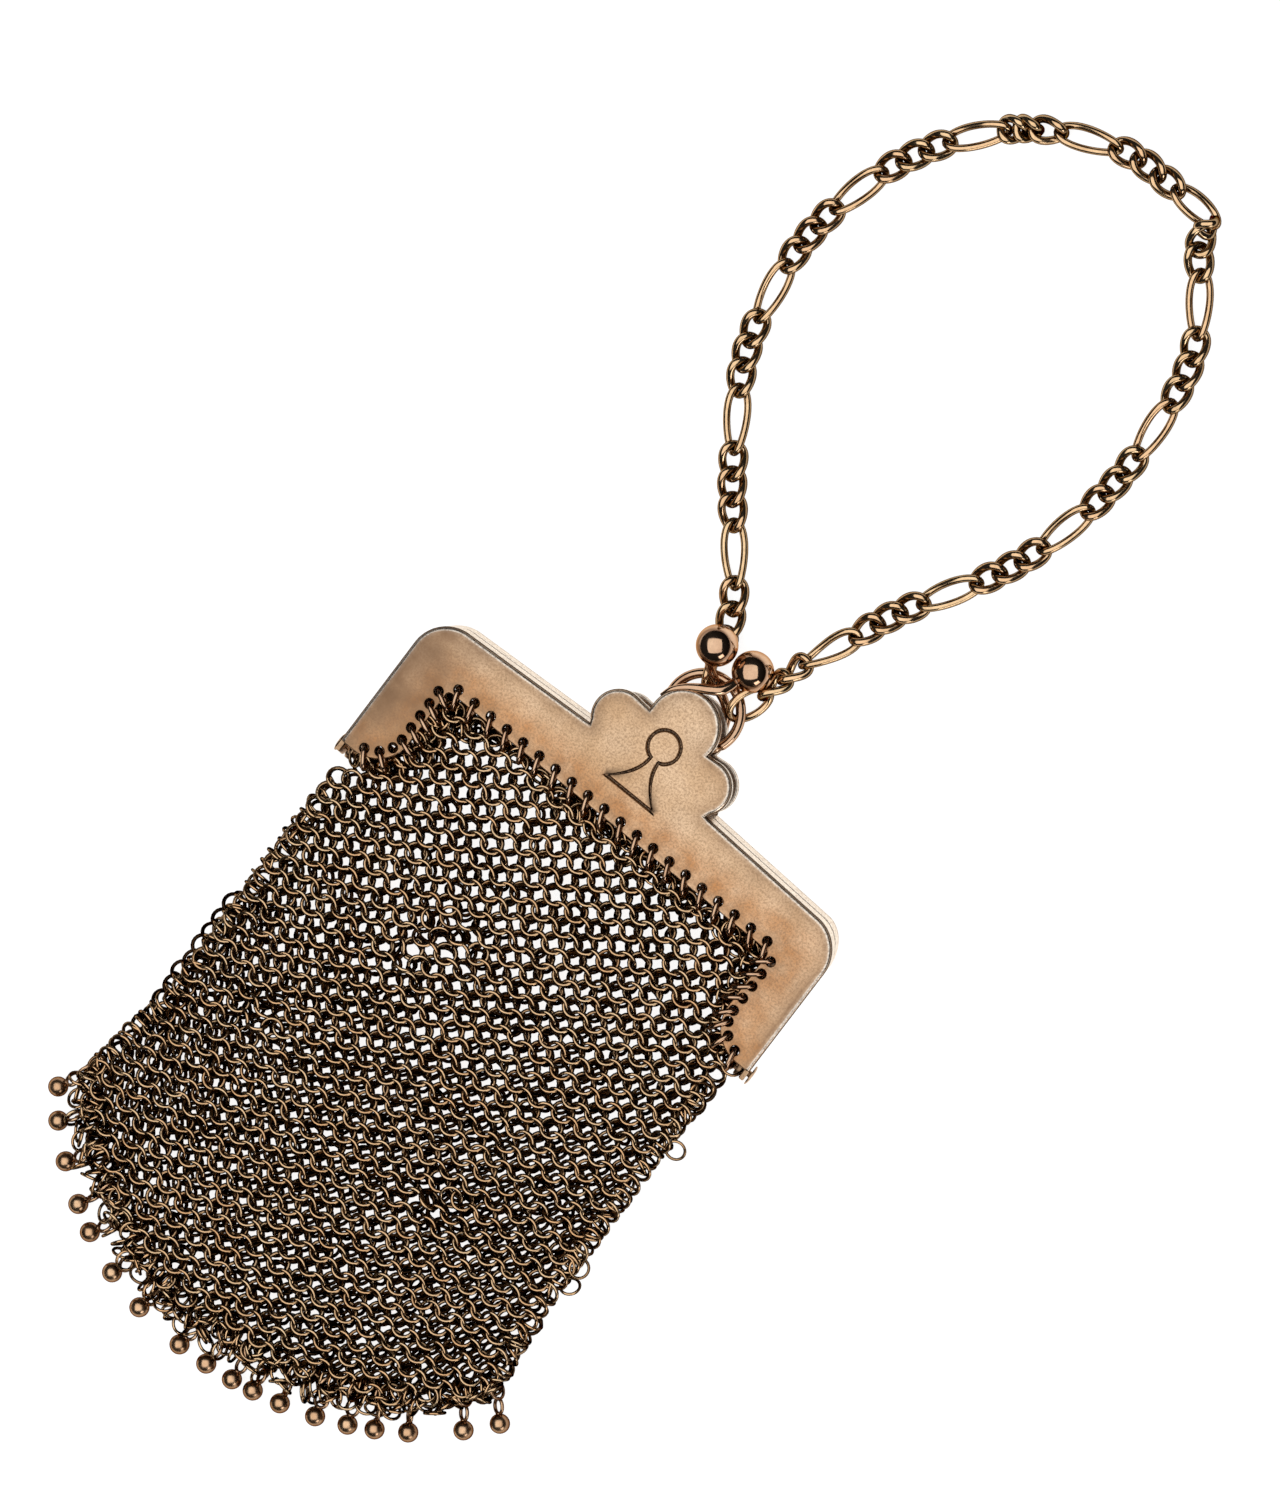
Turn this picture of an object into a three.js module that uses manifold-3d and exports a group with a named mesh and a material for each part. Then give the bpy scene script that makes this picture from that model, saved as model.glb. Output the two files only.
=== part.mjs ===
// Metal mesh purse with a hinged frame, a ball clasp, a wrist chain and a fringe of ball drops.
// It lies on its back: X runs across the frame, Y from the bag towards the clasp, Z up. Millimetres.
// While it is built, the origin is the middle of the frame's top edge, on the surface that it lies on.
import * as THREE from "three";
import { mergeVertices } from "three/addons/utils/BufferGeometryUtils.js";
import Module from "manifold-3d";

const wasm = await Module();
wasm.setup();

// Frame: two stamped halves, each a face sheet with a turned-in rim.
const frameWidth = 70;
const frameHeight = 21.7;
const barHeight = 7.6;
const armWidth = 7.6;
const halfDepth = 3.35;
const halvesGap = 0.3;
const sheet = 0.8;
const cornerRadius = 5.4;
const armSweep = { width: 5.6, height: 5.2 }; // the arm's inner corner, a quarter of an ellipse
const innerFillet = 0.6;

// Crest: one lobe above two side lobes.
const topLobe = { height: 8.3, radius: 4.8, cuspAngle: -10 };
const sideLobe = { across: 7.2, height: 3.85, radius: 3.7, lowAngle: -38, highAngle: 92 };
const crestNotch = 9.45;
const crestRim = 0.6; // how deep the crest's rim is beyond its sheet

// Keyhole, engraved on the front as one closed groove.
const keyhole = { height: 4.4, radius: 2.24, neck: 0.66, neckTop: 2.15, baseHalf: 4, base: -3.3 };
const keyholeFlare = { across: 0.72, height: -0.6 };
const groove = { width: 0.5, depth: 0.3, tipReach: 1.6 }; // tipReach: how much faster its pointed tips grow

// Holes for the links that carry the bag.
const holeDiameter = 1.3;
const holeInset = 1;
const barHoles = 20;
const armHoles = 5;
const armHoleStart = 0.4; // the first one's distance from the bar, in steps
const sweepHoles = [22, 47, 74]; // degrees round the arm's swept corner
const holeSides = 6;

// Hinges: an ear on each half and a riveted pin through both.
const earRadius = 1.3;
const earThickness = 0.8;
const earDrop = 0.7; // axis below the arm's end
const earGap = 0.3;
const earFoot = 0.5; // how far the foot reaches below the axis, in ear radii
const pinRadius = 0.45;
const pinGap = 0.3;
const pinHead = { radius: 1.45, thickness: 0.4 };
const pinTail = { radius: 0.9, thickness: 0.4 };
const pinSides = 8;

// Clasp: two balls on bent stems that cross over.
const ballDiameter = 5.6;
const ballGap = 0.3; // between the balls, and between the front one and the bail
const ballSides = { around: 13, upward: 8 };
const frontBallPlace = { across: 2.1, up: 3.1 };
const backBallRise = { height: 0.1, up: 2.35 }; // from the front ball
// start, middle, end: diameters. swell: how near its start it is thickest.
const stem = { start: 1, middle: 1.3, end: 1, swell: 1.4, steps: 8, sides: 6 };
// Points of the stems. across, height: radii of the top lobe from its centre. up: share of the frame's depth.
const frontStem = [
  { across: -0.82, height: 0.36, up: 0.886 },
  { across: -0.4, height: 0.938, up: 0.886 },
  { across: 0.052, height: 1.438, up: 0.864 },
  { across: 0.271, height: 1.813, up: 0.657 },
];
const backStem = [
  { across: 0.82, height: 0.36, up: 0.114 },
  { across: 0.4, height: 0.875, up: 0.171 },
  { across: 0.063, height: 1.188, up: 0.429 },
  { across: -0.125, height: 1.5, up: 0.679 },
];

// Bail: the ring that joins the chain to the back half, and the eye that holds it.
const bail = { diameter: 11.3, wire: 1.2, height: 10.6, segments: 16, sides: 6 };
const bailGap = 0.45;
const eyeWire = 0.7;

// Chain: three short links between long ones.
const chain = { longLinks: 12, between: 3, atStart: 4, atEnd: 3, rise: 0.66, neck: 0.18 };
const linkSegments = 10;
const linkSides = 5;
const routeSteps = 2000; // for measuring along the route
const shortLink = { pitch: 3.2, width: 3.95, wire: 0.97 };
const longLink = { pitch: 7.3, width: 3.6, wire: 0.86 };
const endRing = { pitch: 2.3, width: 4.9, wire: 0.9, turn: -60 };
const startLink = { pitch: 2.4, neck: 0.5, width: 3.8, wire: 0.97, turn: 90 };
// The chain's few chosen points: across, along, up.
const chainRoute = [
  [-3.2, 18.2, 1.35],
  [-3.8, 21.6, 1.17],
  [-8.6, 29, 1.17],
  [-14.6, 35.9, 1.17],
  [-19.2, 42.7, 1.17],
  [-23.7, 50.2, 1.17],
  [-26, 58, 1.17],
  [-26.9, 66.8, 1.17],
  [-25.7, 75.6, 1.17],
  [-22.8, 83.9, 1.17],
  [-18.2, 91.2, 1.17],
  [-12.6, 97, 1.17],
  [-5.4, 101.2, 1.17],
  [2.5, 103.7, 1.17],
  [10.4, 102.9, 1.17],
  [15.9, 99.3, 1.17],
  [20.3, 93.4, 1.17],
  [23.7, 86.3, 1.17],
  [25.1, 77.4, 1.17],
  [25.3, 68.8, 1.17],
  [24, 60.1, 1.17],
  [21.4, 51.8, 1.17],
  [17.2, 44, 1.17],
  [12.6, 36.4, 1.17],
  [8.9, 27.6, 1.17],
  [8.2, 23.4, 1.17],
  [7.6, 20, 1.2],
  [6.2, 16.9, 1.5],
];
const startAngle = 120; // where the chain's ends hold the bail, in degrees round it
const endAngle = 42;

// Bag: a hollow flattened tube of mesh, open inside the frame and closed along its rounded bottom.
const bagOver = 0.3; // how much wider than half the frame its half is
const bagWall = 1.4;
const bagGap = 0.3;
const bagSide = 70.1; // length down its sides
const bagSag = 17.3; // further that its middle hangs
const bagSlant = { drop: 1.1, steep: 3 }; // its left half hangs this much lower, its right half higher
const bagShift = -1.3; // it hangs a little to the left
const bottomRound = { across: 2.2, down: 0.9 };
const edgeRound = 8;
const neckSections = [
  // From the frame's bar to the foot of its hinges. down: share of that height.
  // out: from the arms' inner edges to the pins' ends. thick: share of the frame's depth.
  { down: 0, out: 0, thick: 1 },
  { down: 0.333, out: 0, thick: 0.96 },
  { down: 0.665, out: 0, thick: 0.9 },
  { down: 0.79, out: 0.16, thick: 0.88 },
  { down: 0.896, out: 0.58, thick: 0.86 },
  { down: 0.985, out: 0.82, thick: 0.84 },
];
const bodySections = [
  // down: share of the length below the hinges. left, right: shares of the half width. thick: as above.
  { down: 0.025, left: 0.925, right: 0.943, thick: 0.82 },
  { down: 0.161, left: 0.943, right: 0.943, thick: 0.76 },
  { down: 0.355, left: 0.943, right: 0.943, thick: 0.7 },
  { down: 0.548, left: 0.945, right: 0.943, thick: 0.66 },
  { down: 0.742, left: 0.95, right: 0.947, thick: 0.64 },
  { down: 0.858, left: 0.98, right: 0.97, thick: 0.62 },
  { down: 0.935, left: 1, right: 0.985, thick: 0.58 },
  { down: 0.981, left: 1.005, right: 0.99, thick: 0.5 },
  { down: 1, left: 1.005, right: 0.99, thick: 0.4 },
];
// Shallow folds in the front: where each starts and ends, as shares across and down, its width and height.
const bagFolds = [
  { from: [-0.7, 0.02], to: [-0.45, 0.42], width: 0.1, height: 0.05 },
  { from: [-0.25, 0.02], to: [-0.3, 0.3], width: 0.09, height: 0.04 },
  { from: [0.3, 0.02], to: [0.15, 0.36], width: 0.1, height: 0.045 },
  { from: [0.72, 0.02], to: [0.5, 0.5], width: 0.1, height: 0.05 },
  { from: [-0.8, 0.62], to: [0.3, 0.9], width: 0.12, height: 0.045 },
];
const foldFade = 12; // how fast the folds fade out at the mouth and at the bottom
const bagColumns = 10;

// Ball drops on jump rings along the bottom edge.
const drop = { ball: 2.7, ring: 2.5, wire: 0.5, sink: 0.3, ringLift: 45 };
const dropSides = { ring: 8, around: 8, upward: 6 };
// across: share of the half width. lean: degrees from straight down, to the right.
const dropPlaces = [
  { across: -0.995, lean: -26 },
  { across: -0.9, lean: -36 },
  { across: -0.79, lean: -32 },
  { across: -0.66, lean: -28 },
  { across: -0.56, lean: -28 },
  { across: -0.41, lean: -22 },
  { across: -0.25, lean: -20 },
  { across: -0.065, lean: -8 },
  { across: 0.045, lean: 0 },
  { across: 0.155, lean: 2 },
  { across: 0.24, lean: 4 },
  { across: 0.34, lean: 10 },
  { across: 0.465, lean: 16 },
  { across: 0.575, lean: 20 },
  { across: 0.66, lean: 24 },
  { across: 0.755, lean: 32 },
  { across: 0.91, lean: 36 },
  { across: 0.995, lean: 42 },
];

const arcSteps = 6; // straight steps in each arc of an outline
const frameDepth = 2 * halfDepth + halvesGap;
const halfFrame = frameWidth / 2;
const past = 1; // how far a cut reaches past what it cuts
const radians = THREE.MathUtils.degToRad;
const solids = {};

// Solids

function solidOf(geometry) {
  const bare = geometry.clone();
  bare.deleteAttribute("normal");
  bare.deleteAttribute("uv");
  const merged = mergeVertices(bare, 1e-4);
  return new wasm.Manifold(
    new wasm.Mesh({
      numProp: 3,
      vertProperties: merged.attributes.position.array,
      triVerts: new Uint32Array(merged.index.array),
    }),
  );
}

function geometryOf(solid) {
  const mesh = solid.getMesh();
  const geometry = new THREE.BufferGeometry();
  geometry.setAttribute("position", new THREE.BufferAttribute(mesh.vertProperties, 3));
  geometry.setIndex(new THREE.BufferAttribute(mesh.triVerts, 1));
  geometry.computeVertexNormals();
  return geometry;
}

function joined(list) {
  return list.reduce((all, one) => all.add(one));
}

function without(solid, list) {
  return list.reduce((left, tool) => left.subtract(tool), solid);
}

// A shape drawn in the XY plane, made solid from one height to another.
function slab(shape, low, high) {
  const options = { depth: high - low, bevelEnabled: false, curveSegments: arcSteps };
  return solidOf(new THREE.ExtrudeGeometry(shape, options).translate(0, 0, low));
}

function block(low, high) {
  const size = high.clone().sub(low);
  const centre = low.clone().add(high).multiplyScalar(0.5);
  return solidOf(new THREE.BoxGeometry(size.x, size.y, size.z).translate(centre.x, centre.y, centre.z));
}

// A round bar along X.
function barAcross(radius, fromX, toX, y, z, sides = 12) {
  const bar = new THREE.CylinderGeometry(radius, radius, Math.abs(toX - fromX), sides);
  bar.rotateZ(Math.PI / 2);
  return solidOf(bar.translate((fromX + toX) / 2, y, z));
}

// A closed surface from rings of points, each with as many points: ring k joins ring k + 1.
function skin(rings, closed) {
  const around = rings[0].length;
  const positions = rings.flat().flatMap((p) => [p.x, p.y, p.z]);
  const faces = [];
  const count = closed ? rings.length : rings.length - 1;
  for (let k = 0; k < count; k++) {
    const next = (k + 1) % rings.length;
    for (let j = 0; j < around; j++) {
      const a = k * around + j;
      const b = k * around + ((j + 1) % around);
      const c = next * around + ((j + 1) % around);
      const d = next * around + j;
      faces.push(a, b, c, a, c, d);
    }
  }
  if (!closed) {
    const last = (rings.length - 1) * around;
    for (let j = 1; j < around - 1; j++) {
      faces.push(0, j + 1, j, last, last + j, last + j + 1);
    }
  }
  const geometry = new THREE.BufferGeometry();
  geometry.setAttribute("position", new THREE.Float32BufferAttribute(positions, 3));
  geometry.setIndex(faces);
  return geometry;
}

// A section across a path at one point, with its last facet facing the side direction.
function sectionAt(centre, along, side, radius, sides) {
  const first = side.clone().addScaledVector(along, -side.dot(along)).normalize();
  const second = new THREE.Vector3().crossVectors(along, first);
  const ring = [];
  for (let j = 0; j < sides; j++) {
    const angle = ((j + 0.5) * 2 * Math.PI) / sides;
    const point = centre.clone().addScaledVector(first, radius * Math.cos(angle));
    ring.push(point.addScaledVector(second, radius * Math.sin(angle)));
  }
  return ring;
}

// A wire link in its own XY plane, long along X. Its rise twists it, so that links pass through one another.
function wireLink(halfLength, halfWidth, rise, wireRadius, segments, sides) {
  const at = (angle) =>
    new THREE.Vector3(
      halfLength * Math.cos(angle),
      halfWidth * Math.sin(angle),
      rise * Math.sin(2 * angle),
    );
  const step = (2 * Math.PI) / segments;
  const rings = [];
  for (let k = 0; k < segments; k++) {
    const angle = (k + 0.5) * step;
    const along = at(angle + step / 2).sub(at(angle - step / 2)).normalize();
    const inward = new THREE.Vector3(-halfWidth * Math.cos(angle), -halfLength * Math.sin(angle), 0);
    rings.push(sectionAt(at(angle), along, inward, wireRadius, sides));
  }
  return skin(rings, true);
}

// Links in their order, as one body: a short solder neck joins the facets where two links' ends meet.
function solderedLinks(links, segments, sides) {
  const facet = sides - 1;
  const farEnd = segments - 1;
  const nearEnd = segments / 2 - 1;
  const perLink = segments * sides;
  const positions = links.flatMap((link) => Array.from(link.attributes.position.array));
  const faces = [];
  links.forEach((link, n) => {
    link.index.array.forEach((vertex, f) => {
      const quad = Math.floor(f / 6);
      const segment = Math.floor(quad / sides);
      const joinsNext = segment === farEnd && n < links.length - 1;
      const joinsLast = segment === nearEnd && n > 0;
      if (quad % sides !== facet || !(joinsNext || joinsLast)) faces.push(n * perLink + vertex);
    });
  });
  const corners = (n, segment) => {
    const here = n * perLink + segment * sides;
    const next = n * perLink + ((segment + 1) % segments) * sides;
    return [here + facet, here, next, next + facet];
  };
  const place = (vertex) => new THREE.Vector3().fromArray(positions, 3 * vertex);
  for (let n = 1; n < links.length; n++) {
    const from = corners(n - 1, farEnd);
    const to = corners(n, nearEnd).reverse();
    const spread = (shift) =>
      from.reduce((sum, vertex, k) => sum + place(vertex).distanceTo(place(to[(k + shift) % 4])), 0);
    const best = [0, 1, 2, 3].reduce((a, b) => (spread(b) < spread(a) ? b : a));
    for (let k = 0; k < 4; k++) {
      const [a, b] = [from[k], from[(k + 1) % 4]];
      const [c, d] = [to[(k + 1 + best) % 4], to[(k + best) % 4]];
      faces.push(a, b, c, a, c, d);
    }
  }
  const geometry = new THREE.BufferGeometry();
  geometry.setAttribute("position", new THREE.Float32BufferAttribute(positions, 3));
  geometry.setIndex(faces);
  return solidOf(geometry);
}

// A rod through points, with a diameter at each.
function rod(points, diameters, side, sides = 8) {
  const rings = points.map((point, k) => {
    const before = points[Math.max(k - 1, 0)];
    const after = points[Math.min(k + 1, points.length - 1)];
    const along = after.clone().sub(before).normalize();
    return sectionAt(point, along, side, diameters[k] / 2, sides);
  });
  return solidOf(skin(rings, false));
}

// Frame halves

function lobePoint(lobe, angle) {
  return [
    (lobe.across ?? 0) + lobe.radius * Math.cos(radians(angle)),
    lobe.height + lobe.radius * Math.sin(radians(angle)),
  ];
}

// The crest's outline from its right notch to its left, onto a path already at the right notch.
function addCrest(path, inset) {
  const right = { ...sideLobe, radius: sideLobe.radius - inset };
  const left = { ...right, across: -right.across };
  const top = { ...topLobe, radius: topLobe.radius - inset };
  const [low, high, cusp] = [right.lowAngle, right.highAngle, top.cuspAngle];
  path.lineTo(...lobePoint(right, low));
  path.absarc(right.across, right.height, right.radius, radians(low), radians(high));
  path.lineTo(...lobePoint(top, cusp));
  path.absarc(0, top.height, top.radius, radians(cusp), radians(180 - cusp));
  path.lineTo(...lobePoint(left, 180 - high));
  path.absarc(left.across, left.height, left.radius, radians(180 - high), radians(180 - low));
  path.lineTo(inset - crestNotch, 0);
}

// The crest alone, down to the frame's top edge.
function crestShape(inset) {
  const shape = new THREE.Shape();
  shape.moveTo(crestNotch - inset, 0);
  addCrest(shape, inset);
  return shape;
}

// The face of one half: an upside-down U with swept arm ends and the crest.
function faceShape() {
  const end = -frameHeight;
  const lowest = end + armSweep.height;
  const inside = halfFrame - armWidth;
  const sweepCentre = inside + armSweep.width;
  const cornerCentre = halfFrame - cornerRadius;
  const shape = new THREE.Shape();
  shape.moveTo(halfFrame, end);
  shape.lineTo(halfFrame, -cornerRadius);
  shape.absarc(cornerCentre, -cornerRadius, cornerRadius, 0, Math.PI / 2);
  shape.lineTo(crestNotch, 0);
  addCrest(shape, 0);
  shape.lineTo(-cornerCentre, 0);
  shape.absarc(-cornerCentre, -cornerRadius, cornerRadius, Math.PI / 2, Math.PI);
  shape.lineTo(-halfFrame, end);
  shape.lineTo(-sweepCentre, end);
  shape.absellipse(-sweepCentre, lowest, armSweep.width, armSweep.height, -Math.PI / 2, 0);
  shape.lineTo(-inside, -barHeight - innerFillet);
  shape.absarc(-inside + innerFillet, -barHeight - innerFillet, innerFillet, Math.PI, Math.PI / 2, true);
  shape.lineTo(inside - innerFillet, -barHeight);
  shape.absarc(inside - innerFillet, -barHeight - innerFillet, innerFillet, Math.PI / 2, 0, true);
  shape.lineTo(inside, lowest);
  shape.absellipse(sweepCentre, lowest, armSweep.width, armSweep.height, Math.PI, Math.PI * 1.5);
  return shape;
}

// Centres of the holes that follow the inner edge of a half.
function holeCentres() {
  const inside = halfFrame - armWidth;
  const lowest = -frameHeight + armSweep.height;
  const centres = [];
  const barSpan = 2 * inside - 2 * holeInset;
  for (let k = 0; k < barHoles; k++) {
    centres.push([-barSpan / 2 + (k * barSpan) / (barHoles - 1), -barHeight + holeInset]);
  }
  const armSpan = -barHeight - lowest;
  for (const side of [-1, 1]) {
    for (let k = 0; k < armHoles; k++) {
      const down = ((k + armHoleStart) * armSpan) / (armHoles - 1 + armHoleStart);
      centres.push([side * (inside + holeInset), -barHeight - down]);
    }
    for (const angle of sweepHoles) {
      const across = (armSweep.width - holeInset) * Math.cos(radians(angle));
      const down = (armSweep.height - holeInset) * Math.sin(radians(angle));
      centres.push([side * (inside + armSweep.width - across), lowest - down]);
    }
  }
  return centres;
}

function keyholeShape(grow) {
  const neckHalf = keyhole.neck + grow;
  const radius = keyhole.radius + grow;
  const meet = Math.asin(neckHalf / radius);
  const tip = keyhole.baseHalf + grow * groove.tipReach;
  const base = keyhole.base - grow;
  const shape = new THREE.Shape();
  shape.moveTo(tip, base);
  shape.quadraticCurveTo(keyholeFlare.across + grow, keyholeFlare.height, neckHalf, keyhole.neckTop);
  shape.absarc(0, keyhole.height, radius, meet - Math.PI / 2, Math.PI * 1.5 - meet);
  shape.lineTo(-neckHalf, keyhole.neckTop);
  shape.quadraticCurveTo(-keyholeFlare.across - grow, keyholeFlare.height, -tip, base);
  return shape;
}

// One half of the frame. Its face is at one height and its rim reaches to the other.
function frameHalf(face, rimEnd) {
  const inward = Math.sign(rimEnd - face);
  const between = (from, to) => [face + inward * from, face + inward * to].sort((a, b) => a - b);
  const outline = faceShape();
  for (const [x, y] of holeCentres()) {
    const hole = new THREE.Path();
    hole.absarc(x, y, holeDiameter / 2, 0, 2 * Math.PI, true);
    outline.holes.push(new THREE.Path(hole.getPoints(holeSides / 2).slice(0, -1)));
  }
  const plate = slab(outline, ...between(0, sheet));
  const [low, high] = between(sheet / 2, halfDepth);
  const farLeft = new THREE.Vector3(-frameWidth, -2 * frameHeight, low);
  const below = block(farLeft, new THREE.Vector3(frameWidth, 0, high));
  const rim = without(slab(faceShape(), low, high).intersect(below), [
    slab(innerShape(), ...between(sheet, halfDepth + past)),
  ]);
  const crestEdge = without(slab(crestShape(0), ...between(sheet / 2, sheet + crestRim)), [
    slab(crestShape(sheet), ...between(sheet, halfDepth)),
  ]);
  return joined([plate, rim, crestEdge]);
}

// What the rim of a half encloses.
function innerShape() {
  const side = halfFrame - sheet;
  const shape = new THREE.Shape();
  shape.moveTo(side, -2 * frameHeight);
  shape.lineTo(side, -cornerRadius);
  shape.absarc(halfFrame - cornerRadius, -cornerRadius, cornerRadius - sheet, 0, Math.PI / 2);
  shape.lineTo(cornerRadius - halfFrame, -sheet);
  shape.absarc(cornerRadius - halfFrame, -cornerRadius, cornerRadius - sheet, Math.PI / 2, Math.PI);
  shape.lineTo(-side, -2 * frameHeight);
  return shape;
}

// A hinge ear at its inner face's distance from the middle, with a foot up or down to its half.
function hingeEar(side, inner, footLow, footHigh) {
  const y = -frameHeight - earDrop;
  const z = frameDepth / 2;
  const from = side * inner;
  const to = side * (inner + earThickness);
  const foot = block(
    new THREE.Vector3(Math.min(from, to), y - earRadius * earFoot, footLow),
    new THREE.Vector3(Math.max(from, to), y + earRadius, footHigh),
  );
  return joined([barAcross(earRadius, from, to, y, z), foot]);
}

function hingeHole(side) {
  const y = -frameHeight - earDrop;
  const [from, to] = [halfFrame - armWidth, halfFrame + past];
  return barAcross(pinRadius + pinGap, side * from, side * to, y, frameDepth / 2, pinSides);
}

function claspStem(points, ball) {
  const bends = points.map(({ across, height, up }) => {
    const [x, y] = [across * topLobe.radius, topLobe.height + height * topLobe.radius];
    return new THREE.Vector3(x, y, up * frameDepth);
  });
  const places = new THREE.CatmullRomCurve3([...bends, ball]).getPoints(stem.steps);
  const widths = places.map((_, k) => {
    const share = k / stem.steps;
    const swell = Math.sin(Math.PI * Math.min(1, share * stem.swell));
    return stem.start + (stem.end - stem.start) * share + (stem.middle - stem.start) * swell;
  });
  const sphere = new THREE.SphereGeometry(ballDiameter / 2, ballSides.around, ballSides.upward);
  sphere.translate(ball.x, ball.y, ball.z);
  return joined([rod(places, widths, new THREE.Vector3(1, 0, 0), stem.sides), solidOf(sphere)]);
}

// The front ball stands clear of the bail, and the back ball clear of the front one, above and to its left.
function frontBall() {
  const reach = bail.diameter / 2 + ballDiameter / 2 + ballGap;
  const { across, up } = frontBallPlace;
  return new THREE.Vector3(across, bail.height + Math.sqrt(reach ** 2 - across ** 2), up);
}

function backBall() {
  const { height, up } = backBallRise;
  const apart = Math.sqrt((ballDiameter + ballGap) ** 2 - height ** 2 - up ** 2);
  return frontBall().add(new THREE.Vector3(-apart, height, up));
}

function bailCentre() {
  return new THREE.Vector3(0, bail.height, sheet + crestRim + bailGap + bail.wire / 2);
}

// The eye on the back half: two posts and a bridge over the bail's lowest stretch.
function bailEye() {
  const centre = bailCentre();
  const y = centre.y - (bail.diameter - bail.wire) / 2;
  const reach = bail.wire / 2 + bailGap + eyeWire / 2;
  const top = centre.z + reach;
  const points = [
    new THREE.Vector3(0, y - reach, sheet / 2),
    new THREE.Vector3(0, y - reach, top - eyeWire / 2),
    new THREE.Vector3(0, y - reach + eyeWire / 2, top),
    new THREE.Vector3(0, y + reach - eyeWire / 2, top),
    new THREE.Vector3(0, y + reach, top - eyeWire / 2),
    new THREE.Vector3(0, y + reach, sheet / 2),
  ];
  return rod(points, points.map(() => eyeWire), new THREE.Vector3(1, 0, 0), bail.sides);
}

function makeFront() {
  const grooveSolid = without(
    slab(keyholeShape(groove.width / 2), frameDepth - groove.depth, frameDepth + past),
    [slab(keyholeShape(-groove.width / 2), frameDepth - past, frameDepth + 2 * past)],
  );
  const outer = halfFrame - earThickness;
  const parts = [frameHalf(frameDepth, frameDepth - halfDepth), claspStem(frontStem, frontBall())];
  for (const side of [-1, 1]) {
    parts.push(hingeEar(side, outer, frameDepth / 2, frameDepth - sheet));
  }
  return without(joined(parts), [grooveSolid, hingeHole(-1), hingeHole(1)]);
}

function makeBack() {
  const inner = halfFrame - 2 * earThickness - earGap;
  const y = -frameHeight - earDrop;
  const clearFrom = halfFrame - earThickness - earGap / 2;
  const clear = [-1, 1].map((side) =>
    barAcross(earRadius + earGap, side * clearFrom, side * (halfFrame + past), y, frameDepth / 2),
  );
  const half = without(frameHalf(0, halfDepth), clear);
  const parts = [half, bailEye(), claspStem(backStem, backBall())];
  for (const side of [-1, 1]) {
    parts.push(hingeEar(side, inner, 0, frameDepth / 2));
  }
  return without(joined(parts), [hingeHole(-1), hingeHole(1)]);
}

// Where a pin's tail bears on the back half's ear, from the middle.
function pinInner() {
  return halfFrame - 2 * earThickness - 2 * earGap;
}

function makePin(side) {
  const y = -frameHeight - earDrop;
  const z = frameDepth / 2;
  const outer = halfFrame + earGap;
  const inner = pinInner();
  return joined([
    barAcross(pinRadius, side * inner, side * outer, y, z, pinSides),
    barAcross(pinHead.radius, side * outer, side * (outer + pinHead.thickness), y, z),
    barAcross(pinTail.radius, side * (inner - pinTail.thickness), side * inner, y, z, pinSides),
  ]);
}

function makeBail() {
  const centre = bailCentre();
  const mean = (bail.diameter - bail.wire) / 2;
  const ring = wireLink(mean, mean, 0, bail.wire / 2, bail.segments, bail.sides);
  return solidOf(ring.translate(centre.x, centre.y, centre.z));
}

// Chain

function bailPoint(degrees) {
  const mean = (bail.diameter - bail.wire) / 2;
  const offset = new THREE.Vector3(Math.cos(radians(degrees)), Math.sin(radians(degrees)), 0);
  return bailCentre().addScaledVector(offset, mean);
}

// The kinds of link in order, from the bail round the loop and back to it.
function linkOrder() {
  const order = [startLink, ...Array(chain.atStart - 1).fill(shortLink)];
  for (let k = 0; k < chain.longLinks; k++) {
    order.push(longLink);
    if (k < chain.longLinks - 1) order.push(...Array(chain.between).fill(shortLink));
  }
  order.push(...Array(chain.atEnd - 1).fill(shortLink), endRing);
  return order;
}

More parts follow.
